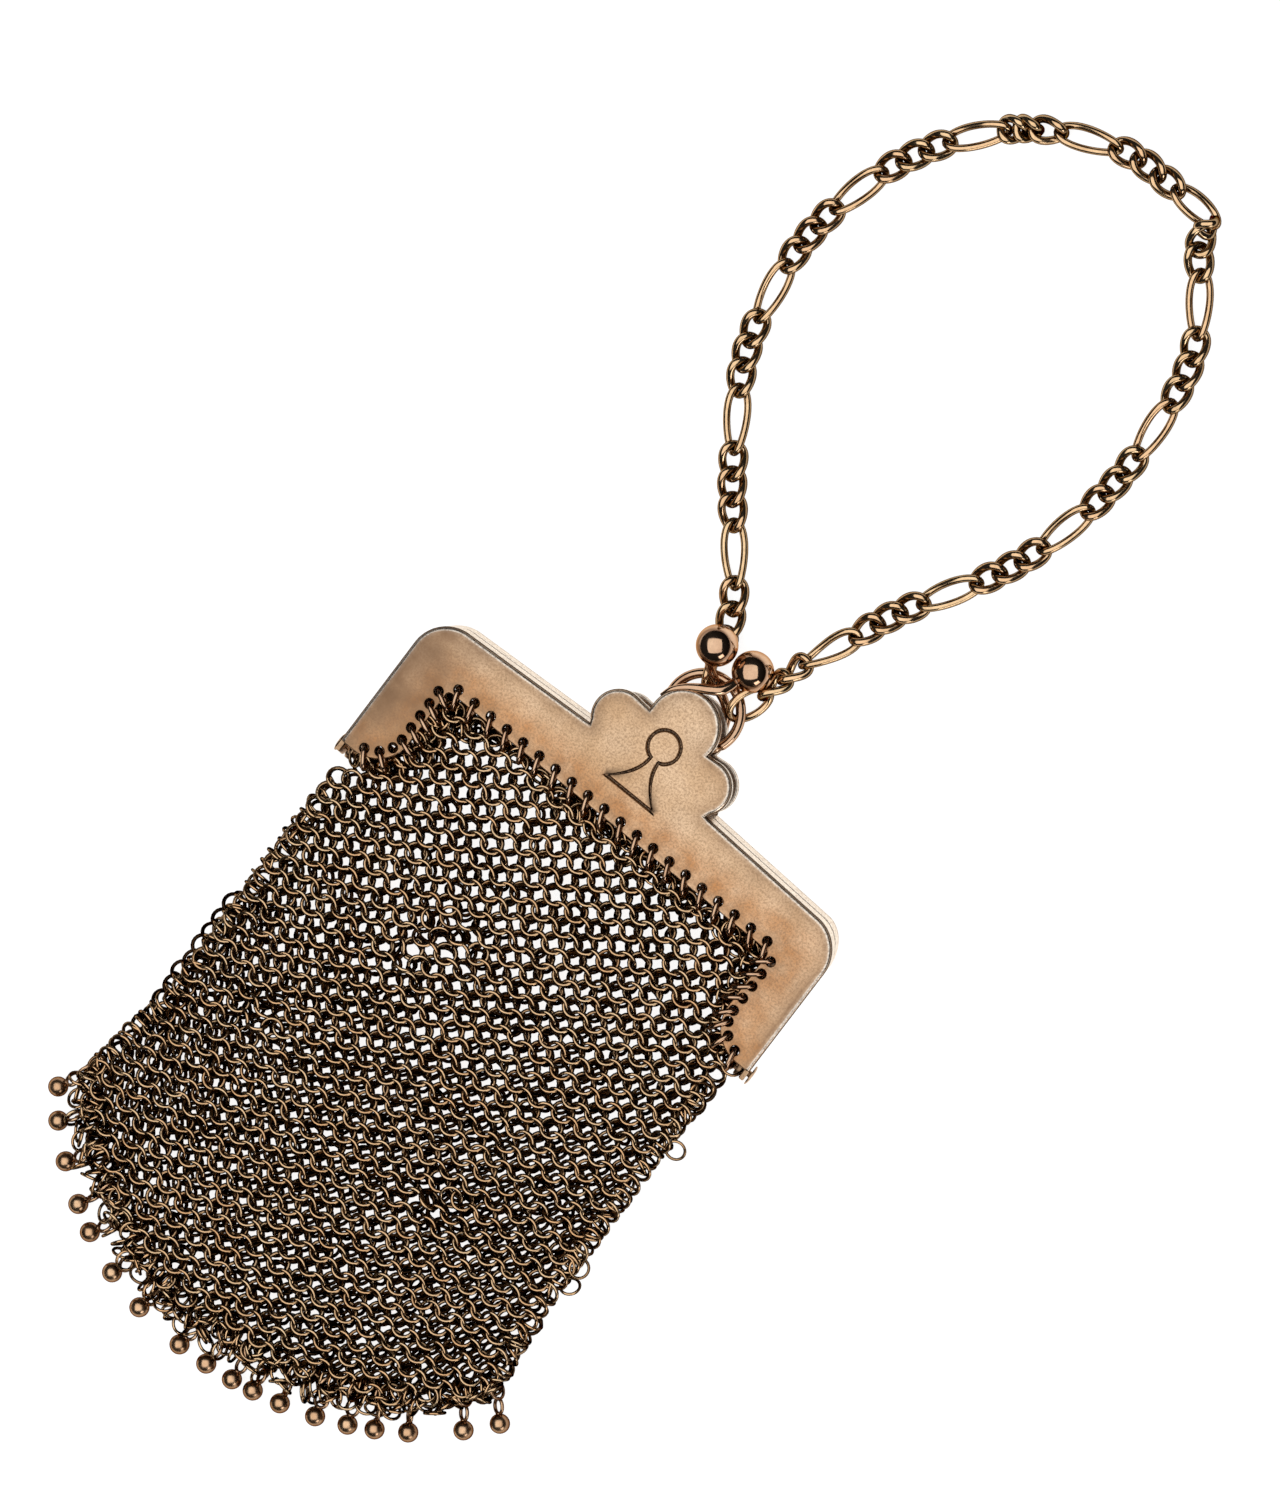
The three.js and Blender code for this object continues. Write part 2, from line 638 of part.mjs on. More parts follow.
function makeChain() {
  const route = chainRoute.map((p) => new THREE.Vector3(...p));
  const points = [bailPoint(startAngle), ...route, bailPoint(endAngle)];
  const curve = new THREE.CatmullRomCurve3(points, false, "centripetal");
  curve.arcLengthDivisions = routeSteps;
  const order = linkOrder();
  const total = order.reduce((sum, link) => sum + link.pitch, 0);
  const flat = Math.cos(Math.PI / linkSides);
  const bailReach = bail.wire / 2 + bailGap;
  const links = [];
  let passed = 0;
  order.forEach((link, k) => {
    const from = curve.getPointAt(passed / total);
    passed += link.pitch;
    const to = curve.getPointAt(Math.min(1, passed / total));
    const along = to.clone().sub(from).normalize();
    const neck = (near) => Math.max(link.neck ?? chain.neck, near.neck ?? chain.neck);
    const past = (near) =>
      near ? (flat * (link.wire + near.wire)) / 4 + neck(near) / 2 : bailReach + link.wire / 2;
    const start = from.clone().addScaledVector(along, -past(order[k - 1]));
    const end = to.clone().addScaledVector(along, past(order[k + 1]));
    const halfLength = start.distanceTo(end) / 2 / Math.cos(Math.PI / linkSegments);
    const halfWidth = (link.width - link.wire) / 2;
    const turn = radians(link.turn ?? 0);
    const rise = turn === 0 ? chain.rise : 0;
    const across = new THREE.Vector3().crossVectors(new THREE.Vector3(0, 0, 1), along).normalize();
    const up = new THREE.Vector3().crossVectors(along, across);
    const side = across.clone().multiplyScalar(Math.cos(turn)).addScaledVector(up, Math.sin(turn));
    const face = new THREE.Vector3().crossVectors(along, side);
    const centre = start.clone().add(end).multiplyScalar(0.5);
    const body = wireLink(halfLength, halfWidth, rise, link.wire / 2, linkSegments, linkSides);
    body.applyMatrix4(new THREE.Matrix4().makeBasis(along, side, face).setPosition(centre));
    links.push(body);
  });
  return solderedLinks(links, linkSegments, linkSides);
}

// Bag

// The rows of both tables, as shares of the whole length and as distances from the middle.
function bagRows() {
  const mouth = barHeight + bagGap;
  const neckShare = (frameHeight + earDrop + earRadius - mouth) / bagSide;
  const arms = halfFrame - armWidth - bagGap;
  const pins = pinInner() - pinTail.thickness - bagGap;
  const neck = neckSections.map(({ down, out, thick }) => {
    const half = arms + (pins - arms) * out;
    return { down: down * neckShare, left: -half, right: half, thick };
  });
  const half = halfFrame + bagOver;
  const body = bodySections.map(({ down, left, right, thick }) => {
    const along = neckShare + down * (1 - neckShare);
    return { down: along, left: bagShift - half * left, right: bagShift + half * right, thick };
  });
  return [...neck, ...body];
}

// A value between the rows.
function sectionValue(column, down) {
  const rows = bagRows();
  let k = 0;
  while (k < rows.length - 2 && rows[k + 1].down < down) k++;
  const above = rows[k];
  const below = rows[k + 1];
  const share = (down - above.down) / (below.down - above.down);
  return above[column] + (below[column] - above[column]) * share;
}

function bagLength(across) {
  const u = THREE.MathUtils.clamp(across, -1, 1);
  const hang = (1 - Math.abs(u) ** bottomRound.across) ** bottomRound.down;
  return bagSide + bagSag * hang - bagSlant.drop * Math.tanh(bagSlant.steep * u);
}

function foldHeight(across, down) {
  return bagFolds.reduce((sum, fold) => {
    const run = [fold.to[0] - fold.from[0], fold.to[1] - fold.from[1]];
    const span = run[0] ** 2 + run[1] ** 2;
    const share = ((across - fold.from[0]) * run[0] + (down - fold.from[1]) * run[1]) / span;
    const near = THREE.MathUtils.clamp(share, 0, 1);
    const off = Math.hypot(across - fold.from[0] - near * run[0], down - fold.from[1] - near * run[1]);
    return sum + fold.height * Math.exp(-((off / fold.width) ** 2));
  }, 0);
}

// One point of the bag. Face is 1 on the front and -1 on the back; inset moves it into the wall.
function bagPoint(across, down, face, inset) {
  const top = -barHeight - bagGap;
  const left = sectionValue("left", down) + inset;
  const right = sectionValue("right", down) - inset;
  const x = (left + right) / 2 + (across * (right - left)) / 2;
  const y = top - down * (bagLength(across) - inset);
  const thick = frameDepth * sectionValue("thick", down);
  const fade = Math.min(1, down * foldFade) * Math.min(1, (1 - down) * foldFade);
  const swell = face > 0 ? frameDepth * foldHeight(across, down) * fade : 0;
  const round = Math.sqrt(1 - Math.abs(across) ** edgeRound);
  const z = thick / 2 + face * (thick / 2 - inset) * round + swell * round;
  return new THREE.Vector3(x, y, z);
}

// Points once round the bag at one level: the front from right to left, then the back.
function bagLoop(down, inset) {
  const across = (k) => Math.sin((Math.PI / 2) * (1 - (2 * k) / bagColumns));
  const loop = [];
  for (let k = 0; k < bagColumns; k++) loop.push(bagPoint(across(k), down, 1, inset));
  for (let k = bagColumns; k > 0; k--) loop.push(bagPoint(across(k), down, -1, inset));
  return loop;
}

function makeBag() {
  const rows = bagRows();
  const outer = rows.map((row) => bagLoop(row.down, 0));
  const deepest = 1 - bagWall / bagSide;
  const inner = rows.filter((row) => row.down < deepest).map((row) => bagLoop(row.down, bagWall));
  const rings = [...inner.reverse(), ...outer];
  return solidOf(bagSkin(rings));
}

// The bag's whole surface: up its inside, over its mouth and down its outside, each bottom closed by a strip.
function bagSkin(rings) {
  const surface = skin(rings, false);
  const around = 2 * bagColumns;
  const tubeFaces = (rings.length - 1) * around * 6;
  const faces = Array.from(surface.index.array).slice(0, tubeFaces);
  const last = (rings.length - 1) * around;
  const strip = (base, flip) => {
    for (let k = 0; k < bagColumns; k++) {
      const a = base + k;
      const b = base + k + 1;
      const c = base + ((around - k - 1) % around);
      const d = base + ((around - k) % around);
      const quad = [a, b, c, a, c, d];
      for (let f = 0; f < 6; f += 3) {
        const [p, q, r] = quad.slice(f, f + 3);
        if (p !== q && q !== r && p !== r) faces.push(...(flip ? [p, r, q] : [p, q, r]));
      }
    }
  };
  strip(0, true);
  strip(last, false);
  surface.setIndex(faces);
  return surface;
}

// Drops

// A ball with its jump ring, lying on the surface and pointing away from the bag's bottom edge.
function makeDrop({ across, lean }) {
  const edge = bagPoint(across, 1, 1, 0);
  const away = new THREE.Vector3(Math.sin(radians(lean)), -Math.cos(radians(lean)), 0);
  const ringReach = bagGap + drop.ring / 2;
  const radius = drop.ball / 2;
  const ringCentre = edge.clone().addScaledVector(away, ringReach).setZ(radius);
  const ballCentre = ringCentre.clone().addScaledVector(away, drop.ring / 2 + radius - drop.sink);
  const mean = (drop.ring - drop.wire) / 2;
  const ring = wireLink(mean, mean, 0, drop.wire / 2, dropSides.ring, linkSides);
  const side = new THREE.Vector3().crossVectors(new THREE.Vector3(0, 0, 1), away);
  const lift = radians(drop.ringLift);
  const tilted = side.clone().multiplyScalar(Math.cos(lift)).setZ(Math.sin(lift));
  const face = new THREE.Vector3().crossVectors(away, tilted);
  ring.applyMatrix4(new THREE.Matrix4().makeBasis(away, tilted, face).setPosition(ringCentre));
  const ball = new THREE.SphereGeometry(radius, dropSides.around, dropSides.upward).rotateX(Math.PI / 2);
  ball.translate(ballCentre.x, ballCentre.y, ballCentre.z);
  return joined([solidOf(ring), solidOf(ball)]);
}

// Assembly

const satinGold = new THREE.MeshStandardMaterial({ color: 0xbda07d, roughness: 0.38, metalness: 1 });
const roseGold = new THREE.MeshStandardMaterial({ color: 0xc08a66, roughness: 0.2, metalness: 1 });
const chainGold = new THREE.MeshStandardMaterial({ color: 0x97754f, roughness: 0.3, metalness: 1 });
const meshGold = new THREE.MeshStandardMaterial({ color: 0x5f4a35, roughness: 0.35, metalness: 1 });

solids.front_plate = [makeFront(), satinGold];
solids.back_plate = [makeBack(), satinGold];
solids.left_hinge_pin = [makePin(-1), satinGold];
solids.right_hinge_pin = [makePin(1), satinGold];
solids.bail_ring = [makeBail(), roseGold];
solids.wrist_chain = [makeChain(), chainGold];
solids.mesh_bag = [makeBag(), meshGold];
dropPlaces.forEach((place, k) => {
  solids["ball_drop_" + String(k + 1).padStart(2, "0")] = [makeDrop(place), roseGold];
});

const purse = new THREE.Group();
for (const [name, [solid, material]] of Object.entries(solids)) {
  const mesh = new THREE.Mesh(geometryOf(solid), material);
  mesh.name = name;
  purse.add(mesh);
}
const box = new THREE.Box3().setFromObject(purse);
const middle = box.getCenter(new THREE.Vector3());
purse.position.set(-middle.x, -middle.y, -box.min.z);

export default purse;
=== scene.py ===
# Looks of the metal mesh purse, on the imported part's frame.
# Sizes below are millimetres in the purse's own frame: its origin is the middle of the frame's top edge,
# on the surface that it lies on, with x to the right, y towards the clasp and z up.
import math

import bpy
import numpy as np
from mathutils import Matrix, Vector
from mathutils.geometry import delaunay_2d_cdt


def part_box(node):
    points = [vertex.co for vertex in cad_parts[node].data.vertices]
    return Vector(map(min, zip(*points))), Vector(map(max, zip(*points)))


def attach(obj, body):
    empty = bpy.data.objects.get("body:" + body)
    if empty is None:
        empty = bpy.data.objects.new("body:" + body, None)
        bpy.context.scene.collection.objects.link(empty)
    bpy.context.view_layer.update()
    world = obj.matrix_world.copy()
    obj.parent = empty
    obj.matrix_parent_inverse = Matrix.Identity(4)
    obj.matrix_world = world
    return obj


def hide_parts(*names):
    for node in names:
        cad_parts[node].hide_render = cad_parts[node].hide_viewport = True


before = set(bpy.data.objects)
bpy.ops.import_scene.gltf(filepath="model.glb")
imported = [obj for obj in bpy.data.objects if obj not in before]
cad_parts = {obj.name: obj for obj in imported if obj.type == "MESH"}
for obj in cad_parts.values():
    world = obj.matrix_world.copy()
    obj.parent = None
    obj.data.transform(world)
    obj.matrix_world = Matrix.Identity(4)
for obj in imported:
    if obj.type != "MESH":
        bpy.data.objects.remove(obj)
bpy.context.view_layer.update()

# Sizes shared by several pieces

frameSizes = {
    "width": 70.0, "height": 21.7, "bar": 7.6, "arm": 7.6, "depth": 7.0, "halfDepth": 3.35,
    "sheet": 0.8, "corner": 5.4, "sweepWidth": 5.6, "sweepHeight": 5.2, "fillet": 0.6,
    "earDrop": 0.7, "earRadius": 1.3, "earThickness": 0.8, "earGap": 0.3,
}
# lobes are arcs: across and height give their centres, in degrees from the right
crestSizes = {
    "topAcross": 0.3, "topHeight": 8.3, "topRadius": 5.05, "cuspAngle": -10.0,
    "sideAcross": 7.3, "sideHeight": 3.9, "sideRadius": 3.75, "lowAngle": -38.0, "highAngle": 92.0,
    "notch": (9.95, 1.0), "rimDepth": 1.4, "rimRound": 0.2, "backShare": 0.955,
}
# bar and arm are numbers of holes, sweep is degrees round the arm's swept corner, and lip is the rounding
# of a hole: distance outside its radius, and height
holeSizes = {
    "diameter": 1.3, "inset": 1.0, "bar": 20, "arm": 5, "armStart": 0.4, "sweep": (22, 47, 74), "sides": 24,
    "lip": ((0.12, 0.0), (0.04, -0.04), (0.0, -0.13)),
}
bailSizes = {"diameter": 11.4, "wire": 1.35, "across": 0.45, "height": 10.9, "up": 2.45, "seam": -28.0}
bailMean = (bailSizes["diameter"] - bailSizes["wire"]) / 2  # radius to the middle of its wire
metre = 0.001  # one millimetre in metres

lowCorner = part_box("front_plate")[0]
originX = lowCorner.x + metre * frameSizes["width"] / 2
originY = lowCorner.y + metre * (frameSizes["height"] + frameSizes["earDrop"] + frameSizes["earRadius"])
rng = np.random.default_rng(7)


def toWorld(points):
    # points in the purse's millimetres as metres in the row's frame
    return np.asarray(points, float) * metre + np.array([originX, originY, 0.0])


def unit(v):
    return v / np.maximum(np.linalg.norm(v, axis=-1, keepdims=True), 1e-12)


# Meshes

def buildPiece(name, parts, material, nodes, sharp=40.0, weighted=False):
    # each part is its points, a list or an array of faces, and a dictionary of point attributes
    offset = 0
    coordinates, faceLists, attributes = [], [], {}
    names = sorted({key for part in parts for key in part[2]})
    for points, faces, values in parts:
        coordinates.append(np.asarray(points, float))
        faceLists.append((offset, faces))
        for key in names:
            given = values.get(key, 0.0)
            attributes.setdefault(key, []).append(np.broadcast_to(given, (len(points),)).astype(np.float32))
        offset += len(points)
    points = toWorld(np.concatenate(coordinates))
    mesh = bpy.data.meshes.new(name)
    mesh.vertices.add(len(points))
    mesh.vertices.foreach_set("co", points.astype(np.float32).ravel())
    corners, starts, total = [], [], 0
    for shift, faces in faceLists:
        if isinstance(faces, np.ndarray):
            corners.append((faces + shift).ravel())
            starts.append(total + np.arange(len(faces)) * faces.shape[1])
            total += faces.size
        else:
            for face in faces:
                corners.append(np.array(face) + shift)
                starts.append(np.array([total]))
                total += len(face)
    corners, starts = np.concatenate(corners), np.concatenate(starts)
    mesh.loops.add(len(corners))
    mesh.loops.foreach_set("vertex_index", corners.astype(np.int32))
    mesh.polygons.add(len(starts))
    mesh.polygons.foreach_set("loop_start", starts.astype(np.int32))
    mesh.update(calc_edges=True)
    mesh.validate()
    mesh.shade_smooth()
    if sharp:
        mesh.set_sharp_from_angle(angle=math.radians(sharp))
    for key, values in attributes.items():
        layer = mesh.attributes.new(key, "FLOAT", "POINT")
        layer.data.foreach_set("value", np.concatenate(values))
    mesh.materials.append(material)
    piece = bpy.data.objects.new(name, mesh)
    bpy.context.scene.collection.objects.link(piece)
    if weighted:
        modifier = piece.modifiers.new("weighted", "WEIGHTED_NORMAL")
        modifier.keep_sharp = True
    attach(piece, "root")
    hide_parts(*nodes)
    print("piece", name, len(points), "points")
    return piece


def gridFaces(rows, columns, closeRows, closeColumns):
    # quads of a grid whose points are numbered row by row
    rowCount = rows if closeRows else rows - 1
    columnCount = columns if closeColumns else columns - 1
    a, b = np.meshgrid(np.arange(rowCount), np.arange(columnCount), indexing="ij")
    a, b = a.ravel(), b.ravel()
    nextA, nextB = (a + 1) % rows, (b + 1) % columns
    corners = ((a, b), (a, nextB), (nextA, nextB), (nextA, b))
    return np.stack([row * columns + column for row, column in corners], 1)


def sweepLine(centres, radii, sides=12, closed=False, side=(0, 0, 1), flatten=1.0):
    # a round bar along a line; flatten is its thickness along the side direction, as a share of its width
    centres = np.asarray(centres, float)
    if closed:
        along = unit(np.roll(centres, -1, 0) - np.roll(centres, 1, 0))
    else:
        along = unit(np.gradient(centres, axis=0))
    side = np.broadcast_to(np.asarray(side, float), centres.shape)
    first = unit(side - (side * along).sum(1, keepdims=True) * along)
    second = np.cross(along, first)
    angle = np.arange(sides) * 2 * math.pi / sides
    radii = np.broadcast_to(np.asarray(radii, float), (len(centres),))[:, None, None]
    ring = flatten * np.cos(angle)[None, :, None] * first[:, None]
    ring = ring + np.sin(angle)[None, :, None] * second[:, None]
    points = (centres[:, None] + radii * ring).reshape(-1, 3)
    faces = [tuple(f) for f in gridFaces(len(centres), sides, closed, True)]
    if not closed:
        last = (len(centres) - 1) * sides
        faces.append(tuple(range(sides))[::-1])
        faces.append(tuple(range(last, last + sides)))
    return points, faces


def band(distance, middle, width):
    # 1 in the middle of a band, fading to both sides
    return np.exp(-(((distance - middle) / width) ** 2))


def topWearAndShade(points, centres, radii, sides, low=0.0, high=0.75):
    # 1 where a bar's skin faces up, rubbed bright and painted with the overhead light's highlight, 0 on its
    # sides, left in painted shade
    centres = np.repeat(np.asarray(centres, float)[:, 2], sides)
    radii = np.repeat(np.broadcast_to(radii, (len(centres) // sides,)), sides)
    return np.clip(((points[:, 2] - centres) / radii - low) / (high - low), 0, 1)


def ballMesh(centre, radius, around, upward, dent, seam=0.09):
    # a ball with a faint seam round its middle, dented by a share of its radius
    lift = np.linspace(0, math.pi, upward + 1)[1:-1]
    turn = np.arange(around) * 2 * math.pi / around
    r = radius * (1 - dent * band(lift, math.pi / 2, seam))
    rows = np.stack(
        [
            (r * np.sin(lift))[:, None] * np.cos(turn),
            (r * np.sin(lift))[:, None] * np.sin(turn),
            np.broadcast_to((r * np.cos(lift))[:, None], (len(lift), around)),
        ],
        -1,
    ).reshape(-1, 3)
    points = np.concatenate([rows, [[0, 0, radius], [0, 0, -radius]]]) + np.asarray(centre)
    faces = [tuple(f)[::-1] for f in gridFaces(len(lift), around, False, True)]
    top, bottom = len(rows), len(rows) + 1
    last = (len(lift) - 1) * around
    for k in range(around):
        faces.append((k, (k + 1) % around, top))
        faces.append((last + (k + 1) % around, last + k, bottom))
    return points, faces


# how the wire's bright top, a painted highlight that also stands for wear, grows with its turn outwards and
# with its height in its ring; its sides are left in painted shade
wireWearAndShade = {"steep": 2.6, "from": 1.35, "least": 0.3, "heightSteep": 1.5, "heightFrom": 0.2}


def ringBatch(
    centres, normals, radius, wire, segments=20, sides=6, tones=None,
    stretch=1.0, ahead=None, out=1, lowest=0.02,
):
    # many wire rings at once; out is 1 or -1 for rings rubbed and painted bright above or below, and none
    # goes under lowest
    centres, normals = np.asarray(centres, float), unit(np.asarray(normals, float))
    count = len(centres)
    reference = np.where(np.abs(normals[:, :1]) < 0.9, np.array([[1.0, 0, 0]]), np.array([[0, 1.0, 0]]))
    if ahead is not None:
        reference = np.asarray(ahead, float)
    first = unit(reference - (reference * normals).sum(1, keepdims=True) * normals)
    second = np.cross(normals, first)
    theta = np.arange(segments) * 2 * math.pi / segments
    phi = np.arange(sides) * 2 * math.pi / sides
    radius = np.broadcast_to(np.asarray(radius, float), (count,))[:, None, None]
    wire = np.broadcast_to(np.asarray(wire, float), (count,))[:, None, None] / 2
    reach = np.broadcast_to(radius + wire * np.cos(phi)[None, None, :], (count, segments, sides))
    x = (stretch * reach * np.cos(theta)[None, :, None])[..., None] * first[:, None, None]
    y = (reach * np.sin(theta)[None, :, None])[..., None] * second[:, None, None]
    z = (np.broadcast_to(wire * np.sin(phi), reach.shape))[..., None] * normals[:, None, None]
    circle = np.cos(theta)[None, :, None] * first[:, None] + np.sin(theta)[None, :, None] * second[:, None]
    facing = circle[:, :, None, 2] * np.cos(phi) + normals[:, None, None, 2] * np.sin(phi)
    level = 0.5 + 0.5 * circle[:, :, None, 2] / max(0.3, np.abs(circle[..., 2]).max())
    if out < 0:
        facing, level = -facing, 1 - level
    w = wireWearAndShade
    # bright where the wire faces up and sits high in its ring: a painted highlight that also stands for
    # wear; its sides and underside are left in painted shade
    high = np.clip(level * w["heightSteep"] - w["heightFrom"], 0, 1)
    wear = np.clip(facing * w["steep"] - w["from"], 0, 1) * (w["least"] + (1 - w["least"]) * high)
    points = (centres[:, None, None] + x + y + z).reshape(count, -1, 3)
    points[:, :, 2] += np.maximum(lowest - points[:, :, 2].min(1), 0)[:, None]
    points = points.reshape(-1, 3)
    one = gridFaces(segments, sides, True, True)
    faces = (one[None] + (np.arange(count) * segments * sides)[:, None, None]).reshape(-1, 4)
    if tones is None:
        tones = rng.random(count)
    return points, faces, {"tone": np.repeat(tones, segments * sides), "wear": wear.ravel()}


# Materials

def makeMetal(name, look):
    material = bpy.data.materials.new(name)
    material.use_nodes = True
    nodes, links = material.node_tree.nodes, material.node_tree.links
    shader = nodes["Principled BSDF"]
    shader.inputs["Metallic"].default_value = 1.0
    shader.inputs["Specular Tint"].default_value = (*look["rim"], 1)
    where = nodes.new("ShaderNodeTexCoord")

    def noise(scale, detail, stretch=(1, 1, 1), rough=0.55):
        mapping = nodes.new("ShaderNodeMapping")
        mapping.inputs["Scale"].default_value = stretch
        links.new(where.outputs["Object"], mapping.inputs["Vector"])
        texture = nodes.new("ShaderNodeTexNoise")
        texture.inputs["Scale"].default_value = scale
        texture.inputs["Detail"].default_value = detail
        texture.inputs["Roughness"].default_value = rough
        links.new(mapping.outputs[0], texture.inputs["Vector"])
        return texture.outputs["Fac"]

    def spread(value, low, high, toLow=0.0, toHigh=1.0):
        node = nodes.new("ShaderNodeMapRange")
        node.inputs["From Min"].default_value = low
        node.inputs["From Max"].default_value = high
        node.inputs["To Min"].default_value = toLow
        node.inputs["To Max"].default_value = toHigh
        links.new(value, node.inputs["Value"])
        return node.outputs["Result"]

    def mixed(share, first, second):
        node = nodes.new("ShaderNodeMix")
        node.data_type = "RGBA"
        for socket, value in ((0, share), (6, first), (7, second)):
            if isinstance(value, bpy.types.NodeSocket):
                links.new(value, node.inputs[socket])
            elif socket == 0:
                node.inputs[0].default_value = value
            else:
                node.inputs[socket].default_value = (*value, 1)
        return node.outputs[2]

    def product(first, second):
        node = nodes.new("ShaderNodeMath")
        node.operation = "MULTIPLY"
        node.use_clamp = True
        for socket, value in ((0, first), (1, second)):
            if isinstance(value, bpy.types.NodeSocket):
                links.new(value, node.inputs[socket])
            else:
                node.inputs[socket].default_value = value
        return node.outputs[0]

    def attribute(key):
        node = nodes.new("ShaderNodeAttribute")
        node.attribute_name = key
        return node.outputs["Fac"]

    blotch = spread(noise(look["blotchScale"], 4), 0.38, 0.66)
    colour = mixed(blotch, look["colour"], look["blotch"])
    if "tarnish" in look:
        cloudy = spread(noise(look["tarnishScale"], 5), 0.3, 0.75, 0.35, 1.0)
        colour = mixed(product(attribute("tarnish"), cloudy), colour, look["tarnish"])
    # grime, which on the frame also carries painted shade
    if "grime" in look:
        uneven = spread(noise(look["grimeAndShadeScale"], 4), 0.3, 0.7, 0.5, 1.0)
        colour = mixed(product(attribute("grime"), uneven), colour, look["grime"])
    if "tones" in look:
        colour = mixed(attribute("tone"), colour, look["tones"])
    # a painted highlight along the rounded edges and rim walls, which also stands for wear
    if "worn" in look:
        colour = mixed(attribute("worn"), colour, look["worn"])
    # bright metal where the mask is high, a painted highlight with wear; patina and painted shade where it
    # is low
    if "patinaAndShade" in look:
        colour = mixed(attribute("wear"), look["patinaAndShade"], colour)
    # painted shade: dark lines along edges, in hollows and round holes
    if "soot" in look:
        colour = mixed(attribute("soot"), colour, look["soot"])
    speck = spread(noise(look["grainScale"], 3, rough=0.7), 0.42, 0.64)
    colour = mixed(product(speck, look["grain"]), colour, look["dark"])
    links.new(colour, shader.inputs["Base Color"])
    rough = spread(noise(look["blotchScale"] * 2.3, 5), 0.3, 0.7, *look["roughness"])
    links.new(rough, shader.inputs["Roughness"])
    scratches = noise(look["scratchScale"], 6, (1, 0.06, 1), 0.7)
    fine = noise(look["grainScale"], 4)
    height = mixed(0.5, scratches, fine)
    bump = nodes.new("ShaderNodeBump")
    bump.inputs["Strength"].default_value = look["bump"]
    bump.inputs["Distance"].default_value = look["bumpDepth"]
    links.new(height, bump.inputs["Height"])
    links.new(bump.outputs["Normal"], shader.inputs["Normal"])
    return material


# colour is the metal, on rubbed tops also a painted highlight, and blotch its second shade, rim is its
# glancing colour, patina is the dark of sides and undersides where nothing rubs them, partly patina and
# partly painted shade, and tones is the shade that single pieces vary to; scales are repeats in a metre
# on the frame, grime is dirt and painted shade, soot is painted shade and worn is a painted highlight that
# also stands for wear
frameLook = {
    "colour": (0.66, 0.435, 0.255), "blotch": (0.86, 0.625, 0.42), "dark": (0.28, 0.17, 0.10),
    "tarnish": (0.58, 0.27, 0.105), "grime": (0.24, 0.14, 0.08), "soot": (0.03, 0.019, 0.013),
    "rim": (1.0, 0.93, 0.84), "worn": (1.0, 0.94, 0.85), "tarnishScale": 420.0, "grimeAndShadeScale": 230.0,
    "blotchScale": 95.0, "grainScale": 3300.0, "grain": 0.62, "roughness": (0.24, 0.42),
    "scratchScale": 1500.0, "bump": 0.3, "bumpDepth": 0.00004,
}
polishedLook = {
    "colour": (0.74, 0.50, 0.33), "blotch": (0.58, 0.35, 0.22), "dark": (0.16, 0.08, 0.05),
    "rim": (0.62, 0.43, 0.3), "patinaAndShade": (0.20, 0.105, 0.06),
    "blotchScale": 260.0, "grainScale": 3200.0, "grain": 0.12, "roughness": (0.07, 0.16),
    "scratchScale": 2000.0, "bump": 0.06, "bumpDepth": 0.00002,
}
chainLook = {
    "colour": (0.99, 0.71, 0.42), "blotch": (0.80, 0.53, 0.29), "dark": (0.06, 0.045, 0.03),
    "tones": (0.88, 0.56, 0.32), "rim": (0.22, 0.16, 0.1), "patinaAndShade": (0.115, 0.066, 0.027),
    "blotchScale": 420.0, "grainScale": 2600.0, "grain": 0.18, "roughness": (0.09, 0.19),
    "scratchScale": 1800.0, "bump": 0.10, "bumpDepth": 0.00002,
}
meshLook = {
    "colour": (1.0, 0.73, 0.44), "blotch": (0.9, 0.59, 0.335), "dark": (0.05, 0.033, 0.022),
    "tones": (0.87, 0.51, 0.255), "patinaAndShade": (0.044, 0.021, 0.0095), "rim": (0.06, 0.028, 0.012),
    "blotchScale": 700.0, "grainScale": 3000.0, "grain": 0.18, "roughness": (0.10, 0.2),
    "scratchScale": 2200.0, "bump": 0.10, "bumpDepth": 0.00002,
}
dropLook = {
    "colour": (0.95, 0.66, 0.42), "blotch": (0.70, 0.42, 0.24), "dark": (0.05, 0.028, 0.016),
    "tones": (0.74, 0.46, 0.27), "rim": (0.16, 0.09, 0.05), "patinaAndShade": (0.125, 0.058, 0.030),
    "blotchScale": 520.0, "grainScale": 2600.0, "grain": 0.2, "roughness": (0.2, 0.32),
    "scratchScale": 1600.0, "bump": 0.16, "bumpDepth": 0.00003,
}
frameMetal = makeMetal("frame metal", frameLook)
polishedMetal = makeMetal("polished metal", polishedLook)
chainMetal = makeMetal("chain metal", chainLook)
meshMetal = makeMetal("mesh metal", meshLook)
dropMetal = makeMetal("drop metal", dropLook)
print("materials ready")


# Frame halves

outerRound, innerRound = 0.6, 0.2  # how rounded the face's outer and inner edges are
draft = {"from": 29.5, "over": 5.5, "slope": 0.17}  # the right side leans in from this far across


def arcLine(x, y, radiusX, radiusY, fromAngle, toAngle, step=0.3):
    span = math.radians(abs(toAngle - fromAngle)) * max(radiusX, radiusY)
    count = max(4, int(span / step))
    angle = np.radians(np.linspace(fromAngle, toAngle, count + 1))
    return np.stack([x + radiusX * np.cos(angle), y + radiusY * np.sin(angle)], 1)


def straightLine(start, end, step=0.6):
    count = max(1, int(math.dist(start, end) / step))
    return np.linspace(start, end, count + 1)


